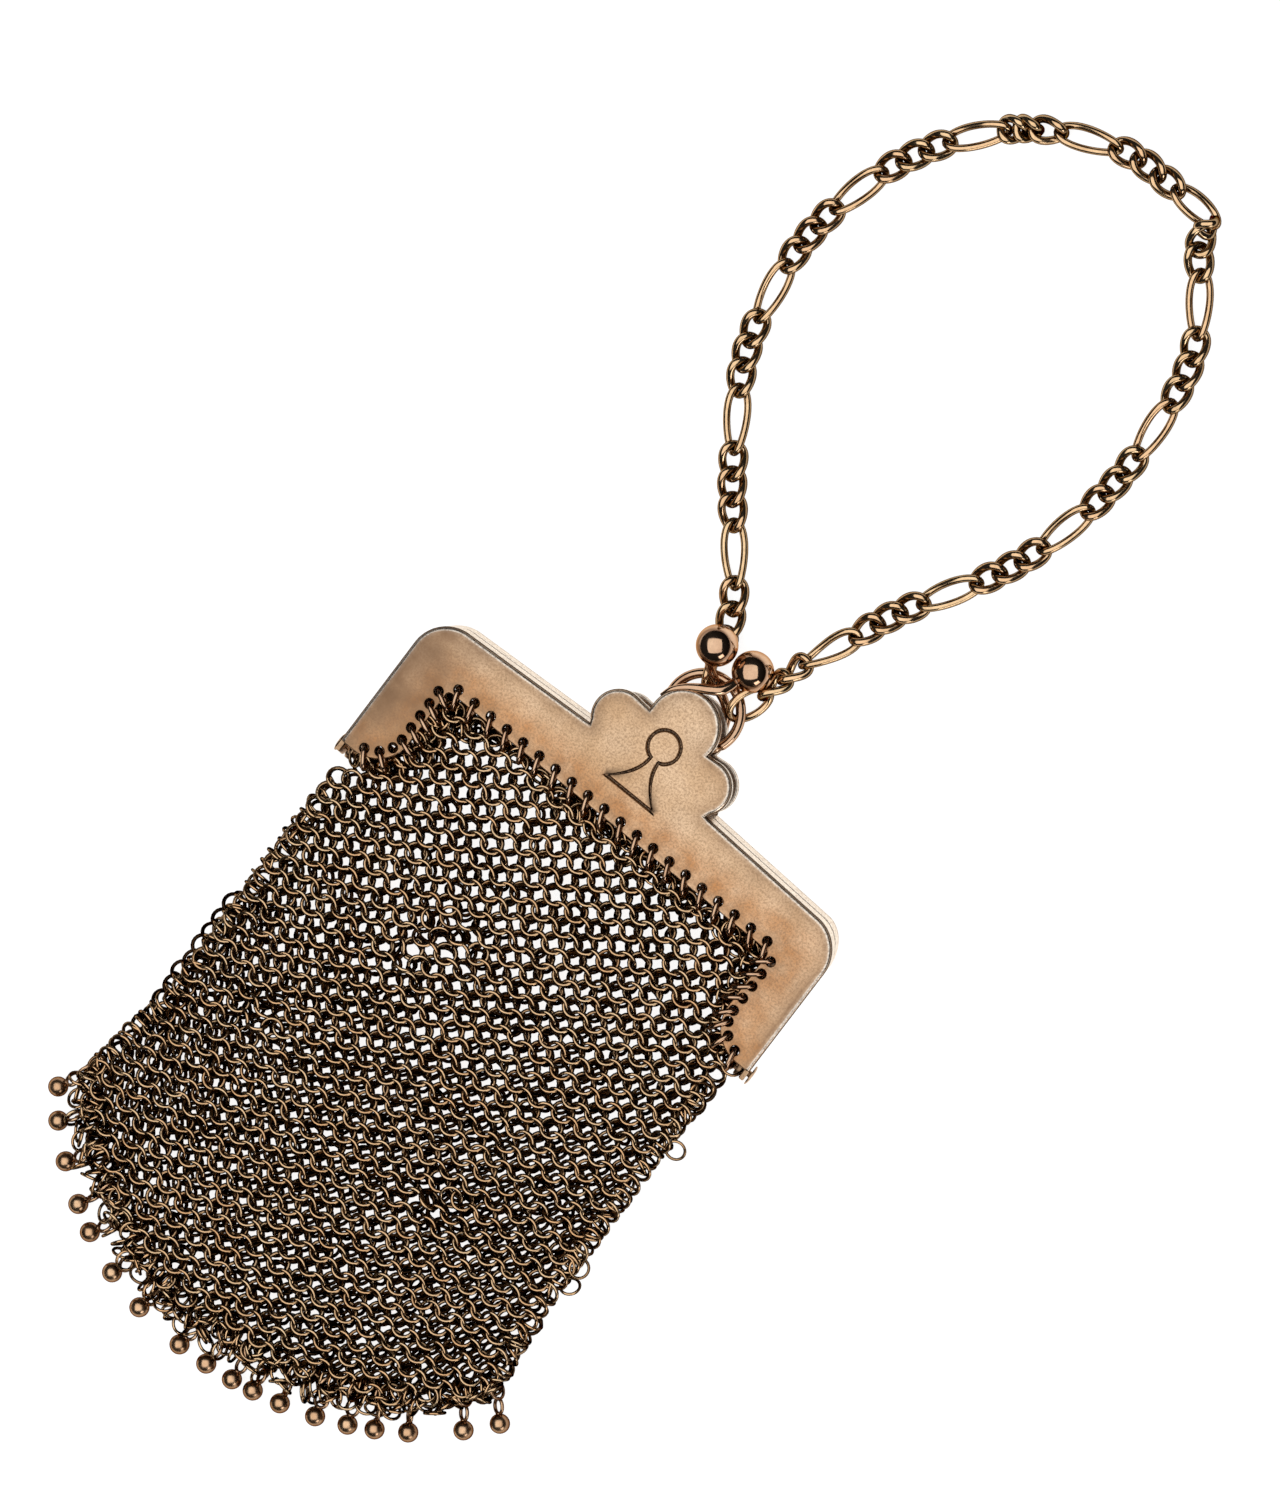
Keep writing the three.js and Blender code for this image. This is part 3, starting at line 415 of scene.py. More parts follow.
def crestLine(share=1.0):
    # the three lobes; the back half's crest is a little smaller, so that it nests behind the front one
    c = crestSizes
    side, top, cusp = c["sideRadius"], c["topRadius"], c["cuspAngle"]
    rightLobe = arcLine(c["sideAcross"], c["sideHeight"], side, side, c["lowAngle"], c["highAngle"])
    topLobe = arcLine(c["topAcross"], c["topHeight"], top, top, cusp, 180 - cusp)
    leftLobe = rightLobe[::-1] * [-1, 1]
    return np.concatenate([rightLobe, topLobe, leftLobe]) * share


def sideLines():
    # the frame's outer edge from the right arm's end to the crest, and from the crest to the left arm's end
    s = frameSizes
    half, end, corner = s["width"] / 2, -s["height"], s["corner"]
    notchAcross, notchHeight = crestSizes["notch"]
    right = [
        straightLine((half, end), (half, -corner)),
        arcLine(half - corner, -corner, corner, corner, 0, 90)[1:],
        straightLine((half - corner, 0), (notchAcross, notchHeight))[1:],
    ]
    left = [
        straightLine((-notchAcross, notchHeight), (corner - half, 0)),
        arcLine(corner - half, -corner, corner, corner, 90, 180)[1:],
        straightLine((-half, -corner), (-half, end))[1:],
    ]
    return np.concatenate(right), np.concatenate(left)


def outerLine():
    # the same edge in one line, for the rim
    return np.concatenate(sideLines())


def faceOutline(share=1.0):
    # the face's outline, anticlockwise from the right arm's outer end, and how rounded its edge is
    s = frameSizes
    half, end, inside = s["width"] / 2, -s["height"], s["width"] / 2 - s["arm"]
    sweep = inside + s["sweepWidth"]
    right, left = sideLines()
    outer = [right, crestLine(share), left]
    fillet, bar = s["fillet"], -s["bar"]
    inner = [
        straightLine((-half, end), (-sweep, end)),
        arcLine(-sweep, end + s["sweepHeight"], s["sweepWidth"], s["sweepHeight"], -90, 0),
        straightLine((-inside, end + s["sweepHeight"]), (-inside, bar - fillet)),
        arcLine(-inside + fillet, bar - fillet, fillet, fillet, 180, 90),
        straightLine((-inside + fillet, bar), (inside - fillet, bar)),
        arcLine(inside - fillet, bar - fillet, fillet, fillet, 90, 0),
        straightLine((inside, bar - fillet), (inside, end + s["sweepHeight"])),
        arcLine(sweep, end + s["sweepHeight"], s["sweepWidth"], s["sweepHeight"], 180, 270),
        straightLine((sweep, end), (half, end)),
    ]
    points, rounds = [], []
    for group, edge in ((outer, outerRound), (inner, innerRound)):
        for piece in group:
            for point in piece:
                if points and math.dist(point, points[-1]) < 1e-4:
                    continue
                points.append(point)
                rounds.append(edge)
    if math.dist(points[0], points[-1]) < 1e-4:
        points.pop()
        rounds.pop()
    return np.array(points), np.array(rounds)


def outwardNormals(points, closed=True):
    # normals of a line that runs anticlockwise, longer at corners so that offsets keep their width
    step = np.roll(points, -1, 0) - points
    if not closed:
        step[-1] = step[-2]
    ahead = unit(np.stack([step[:, 1], -step[:, 0]], 1))
    behind = np.roll(ahead, 1, 0)
    if not closed:
        behind[0] = ahead[0]
    middle = unit(ahead + behind)
    stretch = 1 / np.maximum((middle * ahead).sum(1, keepdims=True), 0.62)
    return middle * stretch


def holePlaces():
    # across, height and the direction away from the bag, in degrees
    s, h = frameSizes, holeSizes
    inside = s["width"] / 2 - s["arm"]
    lowest = -s["height"] + s["sweepHeight"]
    span = 2 * inside - 2 * h["inset"]
    places = []
    for k in range(h["bar"]):
        places.append((-span / 2 + k * span / (h["bar"] - 1), -s["bar"] + h["inset"], 90.0))
    armSpan = -s["bar"] - lowest
    for side in (-1, 1):
        for k in range(h["arm"]):
            y = -s["bar"] - (k + h["armStart"]) * armSpan / (h["arm"] - 1 + h["armStart"])
            places.append((side * (inside + h["inset"]), y, 0.0 if side > 0 else 180.0))
        for angle in h["sweep"]:
            across = (s["sweepWidth"] - h["inset"]) * math.cos(math.radians(angle))
            down = (s["sweepHeight"] - h["inset"]) * math.sin(math.radians(angle))
            away = angle if side > 0 else 180 - angle
            places.append((side * (inside + s["sweepWidth"] - across), lowest - down, away))
    return places


keyholeSizes = {
    "height": 4.75, "radius": 2.24, "neck": 0.66, "neckTop": 2.5, "flare": (0.72, -0.25),
    "tip": 4.0, "base": -2.95, "tipGrowth": 1.6,
}
# the groove across its middle: distance from the line and depth
groove = ((-0.3, 0.0), (-0.22, 0.07), (-0.1, 0.3), (0.1, 0.3), (0.22, 0.07), (0.3, 0.0))


def keyholeLine(grow):
    # the engraved keyhole, grown or shrunk by a distance
    k = keyholeSizes
    neckHalf, radius = k["neck"] + grow, k["radius"] + grow
    meet = math.degrees(math.asin(neckHalf / radius))
    tip, base = k["tip"] + grow * k["tipGrowth"], k["base"] - grow
    start, end = np.array([tip, base]), np.array([neckHalf, k["neckTop"]])
    flare = np.array([k["flare"][0] + grow, k["flare"][1]])
    t = np.linspace(0, 1, 14)[:, None]
    right = (1 - t) ** 2 * start + 2 * t * (1 - t) * flare + t ** 2 * end
    circle = arcLine(0, k["height"], radius, radius, meet - 90, 270 - meet, 0.22)
    left = right[::-1] * [-1, 1]
    bottom = straightLine((-tip, base), (tip, base), 0.4)
    points = np.concatenate([right, circle, left, bottom])
    keep = [k for k in range(len(points)) if math.dist(points[k], points[k - 1]) > 0.02]
    return points[keep]


def distanceTo(points, line, closed=False):
    # the least distance of each point to a line
    start = line if closed else line[:-1]
    end = np.roll(line, -1, 0) if closed else line[1:]
    best = np.full(len(points), 1e9)
    for a, b in zip(start, end):
        run = b - a
        share = np.clip(((points - a) @ run) / max(run @ run, 1e-12), 0, 1)
        off = points - a - share[:, None] * run
        best = np.minimum(best, (off ** 2).sum(1))
    return np.sqrt(best)


def insideLine(points, line):
    # true for the points within a closed line
    inside = np.zeros(len(points), bool)
    ahead = np.roll(line, -1, 0)
    for (x1, y1), (x2, y2) in zip(line, ahead):
        if y1 == y2:
            continue
        crossing = (points[:, 1] < y1) != (points[:, 1] < y2)
        x = x1 + (points[:, 1] - y1) * (x2 - x1) / (y2 - y1)
        inside ^= crossing & (points[:, 0] < x)
    return inside


# the face's mesh: its steps far from and near the outer edge, and how far its points keep from lines
faceGrid = {
    "coarse": 1.3, "fine": 0.42, "fineWidth": 2.6, "coarseFrom": 2.7,
    "fromOutline": 0.22, "fromLines": 0.2, "fromHoles": 0.3,
}
faceSwell = {"drop": 0.17, "width": 1.15}  # the face falls a little towards its outer edge
# strength, middle and width of each band of stain, of painted shade or of painted highlight, counted from
# the holes, the inner or the outer edge
faceStains = {
    "innerTarnish": (0.95, 2.9, 1.5), "wideTarnish": (0.2, 0.0, 5.0), "holeTarnish": (0.55, 0.0, 1.5),
    "rightTarnish": (0.7, 36.0, 12.0), "rimBright": (0.75, 0.0, 2.6), "leftShade": (1.1, -36.0, 10.0),
    "leftShadeHeight": (1.0, -9.0, 16.0), "rightDarkening": (0.15, 36.0, 12.0), "edgeShade": (0.6, 0.8, 0.3),
    "wideEdgeShade": (0.3, 1.4, 0.8), "holeShade": (0.9, 0.0, 0.1), "worn": (1.0, 0.36, 0.15),
}
# the painted shadow line along the outer edge, wider on the left, and the painted shade in the keyhole's
# groove
shadowLine = {"strength": 1.9, "width": 0.085, "leftWidth": 0.075, "leftFrom": 29.0, "leftOver": 4.0}
grooveShade = {"strength": 1.6, "width": 0.17}


def sparePoints(outline, outerEdge, lines, holes):
    # a grid of points inside the outline, finer near the outer edge and clear of every line and hole
    g = faceGrid
    low, high = outline.min(0), outline.max(0)
    grids = []
    for step in (g["fine"], g["coarse"]):
        grid = np.meshgrid(np.arange(low[0], high[0], step), np.arange(low[1], high[1], step))
        grids.append(np.stack(grid, -1).reshape(-1, 2))
    fine, coarse = grids
    fine = fine[distanceTo(fine, outerEdge) < g["fineWidth"]]
    coarse = coarse[distanceTo(coarse, outerEdge) > g["coarseFrom"]]
    spare = np.concatenate([fine, coarse])
    spare = spare[insideLine(spare, outline) & (distanceTo(spare, outline, True) > g["fromOutline"])]
    for line in lines:
        spare = spare[distanceTo(spare, line, True) > g["fromLines"]]
    for x, y, _ in holes:
        spare = spare[np.hypot(*(spare - [x, y]).T) > holeSizes["diameter"] / 2 + g["fromHoles"]]
    return spare


def faceColours(points, outerEdge, innerEdge, holes, engraved):
    # tarnish, grime with painted shade, painted shade lines and a painted highlight that also stands for
    # wear, on the face, by distance from its edges and holes
    toHoles = np.min([np.hypot(points[:, 0] - x, points[:, 1] - y) for x, y, _ in holes], 0)
    toInner, toOuter = distanceTo(points[:, :2], innerEdge), distanceTo(points[:, :2], outerEdge)
    x, y = points[:, 0], points[:, 1]

    def stain(name, distance):
        strength, middle, width = faceStains[name]
        return strength * band(distance, middle, width)

    tarnish = stain("innerTarnish", toInner) + stain("holeTarnish", toHoles) + stain("wideTarnish", toInner)
    tarnish = np.clip(tarnish, 0, 1) + stain("rightTarnish", x) * (1 - stain("rimBright", toOuter))
    # painted shade over the left of the face, a little darkening on the right, and painted shade in a band
    # just inside the outer edge, where its rounding turns away from the light
    grime = stain("leftShade", x) * stain("leftShadeHeight", y) + stain("rightDarkening", x)
    grime = np.clip(grime + stain("edgeShade", toOuter), 0, 1) + stain("wideEdgeShade", toOuter)
    # painted shadow: a black line along the outer edge where the halves meet, and painted shade at the
    # holes' edges and in the groove
    leftShare = np.clip((-x - shadowLine["leftFrom"]) / shadowLine["leftOver"], 0, 1)
    lineWidth = shadowLine["width"] + shadowLine["leftWidth"] * leftShare
    line = np.clip(shadowLine["strength"] - toOuter / lineWidth, 0, 1)
    soot = np.maximum(stain("holeShade", toHoles - holeSizes["diameter"] / 2), line)
    if engraved:
        toGroove = distanceTo(points[:, :2], keyholeLine(0.0), True)
        soot = np.maximum(soot, np.clip(grooveShade["strength"] - toGroove / grooveShade["width"], 0, 1))
    # worn is a painted highlight along the rounded outer edge, also standing for wear
    return {
        "tarnish": np.clip(tarnish, 0, 1), "grime": np.clip(grime, 0, 1), "soot": soot,
        "worn": stain("worn", toOuter),
    }


def facePart(engraved):
    # the stamped sheet, with its face's heights counted from 0 downwards: points, faces and attributes
    outline, rounds = faceOutline(1.0 if engraved else crestSizes["backShare"])
    normals = outwardNormals(outline)
    outerEdge, innerEdge = outline[rounds == outerRound], outline[rounds == innerRound]
    holes = holePlaces()
    sheet = frameSizes["sheet"]

    def swell(points):
        return -faceSwell["drop"] * band(distanceTo(points, outerEdge), 0, faceSwell["width"])

    # the rounded edge, in loops from the outline inwards
    loops = []
    for turn in range(0, 91, 15):
        inward = rounds * (1 - math.cos(math.radians(turn)))
        drop = rounds * (1 - math.sin(math.radians(turn)))
        loops.append((outline - normals * inward[:, None], -drop))
    last = loops[-1][0]
    edgeHeight = swell(last)
    points = [np.column_stack([xy, z + edgeHeight]) for xy, z in loops]
    count = len(outline)
    faces = [tuple(f)[::-1] for f in gridFaces(len(loops), count, False, True)]
    # the flat inside, cut by the holes and the groove
    lines, heights = [last], [edgeHeight]
    sides = holeSizes["sides"]
    angle = np.arange(sides) * 2 * math.pi / sides
    circle = np.stack([np.cos(angle), np.sin(angle)], 1)
    radius = holeSizes["diameter"] / 2
    lip = radius + holeSizes["lip"][0][0]
    for x, y, _ in holes:
        lines.append(np.array([x, y]) + circle * lip)
        heights.append(np.zeros(sides))
    if engraved:
        for grow, depth in groove:
            loop = keyholeLine(grow)
            lines.append(loop)
            heights.append(np.full(len(loop), -depth))
    spare = sparePoints(last, outerEdge, lines[1:], holes)
    edges, start = [], 0
    for loop in lines:
        edges += [(start + k, start + (k + 1) % len(loop)) for k in range(len(loop))]
        start += len(loop)
    flat = [Vector(p) for p in np.concatenate([*lines, spare])]
    made = delaunay_2d_cdt(flat, edges, [tuple(range(count))], 1, 1e-5, True)
    found = np.array([tuple(v) for v in made[0]])
    source = [ids[0] if ids else -1 for ids in made[3]]
    flatHeights = np.concatenate([*heights, np.zeros(len(spare))])
    z = np.array([flatHeights[s] if 0 <= s < start else 0.0 for s in source])
    isEdge = np.array([0 <= s < count for s in source])
    z = np.where(isEdge, z, z + swell(found))
    corners = np.array([list(face) for face in made[2]])
    middles = found[corners].mean(1)
    holeArray = np.array([(x, y) for x, y, _ in holes])
    solid = insideLine(middles, last)
    # a hole's own triangles lie within its circle and are left out
    solid &= np.hypot(*(middles[:, None] - holeArray[None]).transpose(2, 0, 1)).min(1) > lip - 0.02
    shift = len(loops) * count
    faces += [tuple(v + shift for v in t) for t in corners[solid].tolist()]
    # the underside repeats the top, and the outline's edge joins them
    topPoints = np.concatenate([*points, np.column_stack([found, z])])
    under = topPoints.copy()
    under[:, 2] = -sheet
    total = len(topPoints)
    faces += [tuple(v + total for v in f)[::-1] for f in faces]
    faces += [(k, k + total, (k + 1) % count + total, (k + 1) % count) for k in range(count)]
    everything = [topPoints, under]
    # hole walls, with a small rounding
    wall = [(radius + r, z) for r, z in holeSizes["lip"]] + [(radius, -sheet), (lip, -sheet)]
    offset = 2 * total
    for x, y, _ in holes:
        everything += [np.column_stack([np.array([x, y]) + circle * r, np.full(sides, z)]) for r, z in wall]
        faces += [tuple(v + offset for v in f) for f in gridFaces(len(wall), sides, False, True)]
        offset += len(wall) * sides
    points = np.concatenate(everything)
    return points, faces, faceColours(points, outerEdge, innerEdge, holes, engraved)


def rimPart(line, depth, wall, roundness=0.25):
    # a wall that hangs from the face along a line, as deep as given
    normals = outwardNormals(line, closed=False)
    bend = np.radians(np.linspace(0, 90, 5))
    # distance inwards and height, from below the face to the turned-in edge and back up behind it
    profile = [(0.0, -0.5), (0.0, -0.8), (0.0, -1.1), (0.0, -depth + 0.45)]
    profile += [(roundness * (1 - math.cos(a)), -depth + roundness * (1 - math.sin(a))) for a in bend]
    profile += [(wall, -depth + 0.05), (wall, -frameSizes["sheet"] + 0.02)]
    rows = [np.column_stack([line - normals * d, np.full(len(line), z)]) for d, z in profile]
    points = np.stack(rows, 1).reshape(-1, 3)
    size = len(profile)
    faces = [tuple(f)[::-1] for f in gridFaces(len(line), size, False, True)]
    faces += [tuple(range(size)), tuple(range((len(line) - 1) * size, len(line) * size))[::-1]]
    # painted shade right under the face, and a little where the wall turns in; the wall is also painted
    # bright
    soot = np.zeros((len(line), size))
    soot[:, :1] = 1.0
    soot[:, 6:] = 0.35
    return points, faces, {"grime": 0.05, "worn": 0.85, "soot": soot.ravel()}


def earPart(side, inner, towardsZ):
    # a hinge ear: a tab with a round end about the pin's axis, and its foot on its half's sheet
    s = frameSizes
    y, z, r = -s["height"] - s["earDrop"], s["depth"] / 2, s["earRadius"]
    direction = 1 if towardsZ > z else -1
    angle = np.radians(np.linspace(180, 360, 17)) if direction > 0 else np.radians(np.linspace(180, 0, 17))
    roundEnd = [(y + r * math.cos(a), z + r * math.sin(a)) for a in angle]
    outline = np.array([(y - 0.65, towardsZ), *roundEnd, (y + 1.5, towardsZ)])
    centre = outline.mean(0)
    # share of the outline, and distance from the ear's side
    bevel = ((0.86, 0.0), (0.96, 0.06), (1.0, 0.16))
    layers = [*bevel, *((share, s["earThickness"] - x) for share, x in bevel[::-1])]
    rows = []
    for shrink, x in layers:
        loop = centre + (outline - centre) * shrink
        rows.append(np.column_stack([np.full(len(loop), side * (inner + x)), loop]))
    points = np.concatenate(rows)
    size = len(outline)
    faces = [tuple(f) for f in gridFaces(len(rows), size, False, True)]
    faces += [tuple(range(size))[::-1], tuple(range((len(rows) - 1) * size, len(rows) * size))]
    # darker all over, through the frame's grime and shade mask
    return points, faces, {"grime": 0.7}


def drafted(points):
    # the frame's right side leans in a little below the face
    weight = np.clip((points[:, 0] - draft["from"]) / draft["over"], 0, 1)
    points = points.copy()
    points[:, 0] -= draft["slope"] * weight * (frameSizes["depth"] - points[:, 2])
    return points


def turned(part, sign, faceZ):
    # a part whose heights count down from its face, set on the front or on the back half
    points, faces, values = part
    points = points.copy()
    points[:, 2] = faceZ + sign * points[:, 2]
    points = drafted(points)
    if sign < 0:
        faces = [tuple(f)[::-1] for f in faces]
    return points, faces, values


def smoothLine(controls, count):
    # a smooth line through points, with columns after the third carried along
    controls = np.asarray(controls, float)
    extended = np.concatenate([[2 * controls[0] - controls[1]], controls, [2 * controls[-1] - controls[-2]]])
    knots = np.sqrt(np.linalg.norm(np.diff(extended[:, :3], axis=0), axis=1))
    rows = []
    segments = len(controls) - 1
    lengths = np.linalg.norm(np.diff(controls[:, :3], axis=0), axis=1)
    shares = np.concatenate([[0], np.cumsum(lengths)]) / lengths.sum()
    for share in np.linspace(0, 1, count):
        k = min(segments - 1, int(np.searchsorted(shares, share, "right")) - 1)
        t = (share - shares[k]) / (shares[k + 1] - shares[k])
        x0, x1, x2, x3 = extended[k], extended[k + 1], extended[k + 2], extended[k + 3]
        d0, d1, d2 = knots[k], knots[k + 1], knots[k + 2]
        m1 = ((x1 - x0) / d0 - (x2 - x0) / (d0 + d1) + (x2 - x1) / d1) * d1
        m2 = ((x2 - x1) / d1 - (x3 - x1) / (d1 + d2) + (x3 - x2) / d2) * d1
        square, cube = 3 * (x2 - x1) - 2 * m1 - m2, 2 * (x1 - x2) + m1 + m2
        rows.append(x1 + m1 * t + square * t ** 2 + cube * t ** 3)
    return np.array(rows)


def buildFrame():
    s = frameSizes
    deep = s["depth"]
    for front in (True, False):
        sign, faceZ = (1, deep) if front else (-1, 0.0)
        crest = crestLine(1.0 if front else crestSizes["backShare"])
        parts = [
            turned(facePart(front), sign, faceZ),
            turned(rimPart(outerLine(), s["halfDepth"], s["sheet"]), sign, faceZ),
            turned(rimPart(crest, crestSizes["rimDepth"], s["sheet"], crestSizes["rimRound"]), sign, faceZ),
        ]
        inner = s["width"] / 2 - s["earThickness"]
        if not front:
            inner -= s["earThickness"] + s["earGap"]
        for side in (-1, 1):
            points, faces, values = earPart(side, inner, deep - 0.4 if front else 0.4)
            parts.append((drafted(points), faces, values))
        node = "front_plate" if front else "back_plate"
        buildPiece(node + "_stamped", parts, frameMetal, [node], 32.0, True)


# Clasp, pins and bail

claspSizes = {
    "ball": 5.6, "front": (2.6, 19.2, 3.1), "back": (-2.85, 19.35, 5.45), "dent": 0.004, "flatten": 0.85,
    "collar": 0.62, "collarWire": 0.34, "collarSink": 0.05,
}
# x, y, z and width of each stem, from its foot to its ball
claspStems = {
    "front": [
        (-4.75, 9.7, 6.0, 0.35), (-4.1, 11.1, 6.3, 0.7), (-2.8, 12.5, 6.4, 1.0), (-1.4, 13.5, 6.4, 1.2),
        (0.0, 14.3, 6.1, 1.4), (1.1, 15.1, 5.5, 1.55), (1.7, 16.3, 4.8, 1.4), (2.0, 17.4, 4.2, 1.1),
        (2.6, 19.2, 3.1, 1.0),
    ],
    "back": [
        (3.9, 10.4, 0.7, 0.8), (3.0, 12.2, 0.9, 1.1), (1.6, 13.5, 1.4, 1.3), (0.2, 14.4, 2.4, 1.4),
        (-0.9, 15.2, 3.2, 1.35), (-2.1, 16.1, 3.9, 1.25), (-2.7, 17.4, 4.8, 1.1), (-2.85, 19.35, 5.45, 1.0),
    ],
}


def buildClasp():
    c = claspSizes
    radius = c["ball"] / 2
    for name in ("front", "back"):
        ball = np.array(c[name])
        line = smoothLine(claspStems[name], 44)
        bar = sweepLine(line[:, :3], line[:, 3] / 2, 16, side=(0, 0, 1), flatten=c["flatten"])
        sphere = ballMesh(ball, radius, 56, 36, c["dent"])
        away = unit(line[-10, :3] - ball)
        foot = ball + away * (radius - c["collarSink"])
        collar = ringBatch([foot], [away], c["collar"], c["collarWire"], 32, 8)
        # the stem's top is painted bright as a highlight with some wear, its sides left in painted shade
        wear = 0.35 + 0.65 * topWearAndShade(bar[0], line, 0.43 * line[:, 3], 16)
        # a painted reflection of the dark surroundings as a dark ring round the ball's bright top, and
        # painted shade over its lower half
        rise = (sphere[0][:, 2] - ball[2]) / radius
        paintedBallShade = 0.9 * band(rise, 0.66, 0.13) + 0.5 * np.clip(-rise * 2, 0, 1)
        ballWearAndShade = np.clip(1 - paintedBallShade, 0, 1)
        parts = [(*bar, {"wear": wear}), (*sphere, {"wear": ballWearAndShade}), (*collar[:2], {"wear": 0.5})]
        buildPiece(name + "_clasp_ball", parts, polishedMetal, [name + "_plate"], 50.0)


# distance past the ears and radius: a pin's riveted end, and its shank with the head on the outer side
pinTail = ((-0.4, 0.02), (-0.38, 0.45), (-0.28, 0.75), (-0.1, 0.88), (0.0, 0.8), (0.0, 0.45))
pinHead = ((0.0, 0.45), (0.0, 1.3), (0.08, 1.43), (0.2, 1.4), (0.32, 1.1), (0.38, 0.7), (0.4, 0.02))


def buildPins():
    s = frameSizes
    y, z = -s["height"] - s["earDrop"], s["depth"] / 2
    for side, name in ((-1, "left"), (1, "right")):
        outer = s["width"] / 2 + s["earGap"]
        inner = s["width"] / 2 - 2 * s["earThickness"] - 2 * s["earGap"]
        profile = [(inner + x, r) for x, r in pinTail] + [(outer + x, r) for x, r in pinHead]
        sides = 28
        angle = np.arange(sides) * 2 * math.pi / sides
        rows = []
        for x, r in profile:
            ring = (np.full(sides, side * x), y + r * np.cos(angle), z + r * np.sin(angle))
            rows.append(np.column_stack(ring))
        faces = [tuple(f) if side < 0 else tuple(f)[::-1] for f in gridFaces(len(rows), sides, False, True)]
        # darker all over, through the frame's grime and shade mask
        part = (drafted(np.concatenate(rows)), faces, {"grime": 0.6})
        buildPiece(name + "_pin", [part], frameMetal, [name + "_hinge_pin"])


# the solder seam: depth, middle past the seam's angle and width of its dip and of the bead after it
solder = ((-0.14, 0.0, 0.035), (0.05, 0.1, 0.05))
eyeSizes = {"wire": 0.7, "gap": 0.45, "foot": 0.5, "shoulder": 0.8}


def buildBail():
    b, e = bailSizes, eyeSizes
    turn = np.arange(140) * 2 * math.pi / 140
    centre = np.array([b["across"], b["height"], b["up"]])
    line = centre + bailMean * np.stack([np.cos(turn), np.sin(turn), 0 * turn], 1)
    off = np.abs((turn - math.radians(b["seam"]) + math.pi) % (2 * math.pi) - math.pi)
    radii = b["wire"] / 2 * (1 + sum(depth * band(off, middle, width) for depth, middle, width in solder))
    ring = sweepLine(line, radii, 18, True)
    # the wire's top is painted bright as a highlight with wear, its sides left in painted shade
    wear = 0.25 + 0.6 * topWearAndShade(ring[0], line, radii, 18)
    part = (*ring, {"wear": wear})
    buildPiece("bail_ring_soldered", [part], polishedMetal, ["bail_ring"], 60.0)
    # the eye on the back half that holds it
    y, reach = b["height"] - bailMean, b["wire"] / 2 + e["gap"] + e["wire"] / 2
    low, high = y - reach, y + reach
    top, foot = b["up"] + reach, e["foot"]
    shoulder = top - e["shoulder"]
    controls = [(0, low, foot), (0, low, shoulder), (0, y, top), (0, high, shoulder), (0, high, foot)]
    bar = sweepLine(smoothLine(controls, 30), e["wire"] / 2, 12, side=(1, 0, 0))
    buildPiece("bail_eye", [(*bar, {"wear": 0.4})], polishedMetal, ["back_plate"])


# Chain

chainSizes = {
    "longLinks": 12, "between": 3, "atStart": 4, "atEnd": 3,
    "rise": 0.66, "play": 0.02, "bailGap": 0.35, "lowest": 0.03,
    "startAngle": 120, "endAngle": 42,
    "short": {"pitch": 3.2, "width": 4.05, "wire": 1.14}, "long": {"pitch": 7.3, "width": 3.7, "wire": 1.0},
    "end": {"pitch": 3.7, "width": 5.3, "wire": 1.05, "turn": -50},
    "start": {"pitch": 2.4, "width": 3.8, "wire": 0.97, "turn": 90},
}
# degrees that links roll out of the chain's plane, as the photographed one's do
linkRolls = {
    20: 8, 21: 20, 22: 34, 23: 20, 24: 8, 28: -6, 29: -75, 30: -25, 31: -8,
    47: 12, 48: 26, 49: 48, 50: 58,
}
# turned links follow one another more closely: share of the usual pitch
linkPitch = {21: 0.65, 22: 0.6, 29: 0.45, 30: 0.9}
# the line that the chain lies along, from the bail's left side round the loop to its right side
chainRoute = [
    (-3.2, 18.2, 1.35), (-3.8, 21.6, 1.17), (-8.6, 29, 1.17), (-14.6, 35.9, 1.17), (-19.2, 42.7, 1.17),
    (-23.7, 50.2, 1.17), (-26, 58, 1.17), (-26.9, 66.8, 1.17), (-25.7, 75.6, 1.17), (-22.8, 83.9, 1.17),
    (-18.2, 91.2, 1.17), (-12.6, 97, 1.17), (-5.4, 101.2, 1.17), (2.5, 103.4, 1.17), (7, 103.1, 1.17),
    (11.5, 103.7, 1.17), (14.6, 104.3, 1.17), (14.7, 102.2, 1.17), (14.4, 100, 1.17), (16.3, 97.9, 1.17),
    (19.8, 93.7, 1.17), (23.6, 86.6, 1.17), (25.1, 77.4, 1.17), (25.3, 68.8, 1.17), (24, 60.1, 1.17),
    (21.4, 51.8, 1.17), (17.2, 44, 1.17), (12.5, 36.4, 1.17), (8.9, 27.4, 1.17), (6.9, 23.6, 1.17),
    (6.2, 20.6, 1.2), (5.3, 17.0, 1.5),
]


def bailPoint(degrees):
    # a point on the middle of the bail's wire
    b = bailSizes
    a = math.radians(degrees)
    return (b["across"] + bailMean * math.cos(a), b["height"] + bailMean * math.sin(a), b["up"])


def linkCurve(halfLength, halfWidth, rise, count):
    # a twisted link's middle line, and the directions to its inside
    t = np.arange(count) * 2 * math.pi / count
    line = np.stack([halfLength * np.cos(t), halfWidth * np.sin(t), rise * np.sin(2 * t)], 1)
    inward = np.stack([-halfWidth * np.cos(t), -halfLength * np.sin(t), 0 * t], 1)
    return line, inward


def hookReach(link, near):
    # how far a link runs past its share of the route, to hook its neighbour, or the bail where there is none
    if near is None:
        return bailSizes["wire"] / 2 + chainSizes["bailGap"] + link["wire"] / 2
    return (link["wire"] + near["wire"]) / 4 + chainSizes["play"] / 2


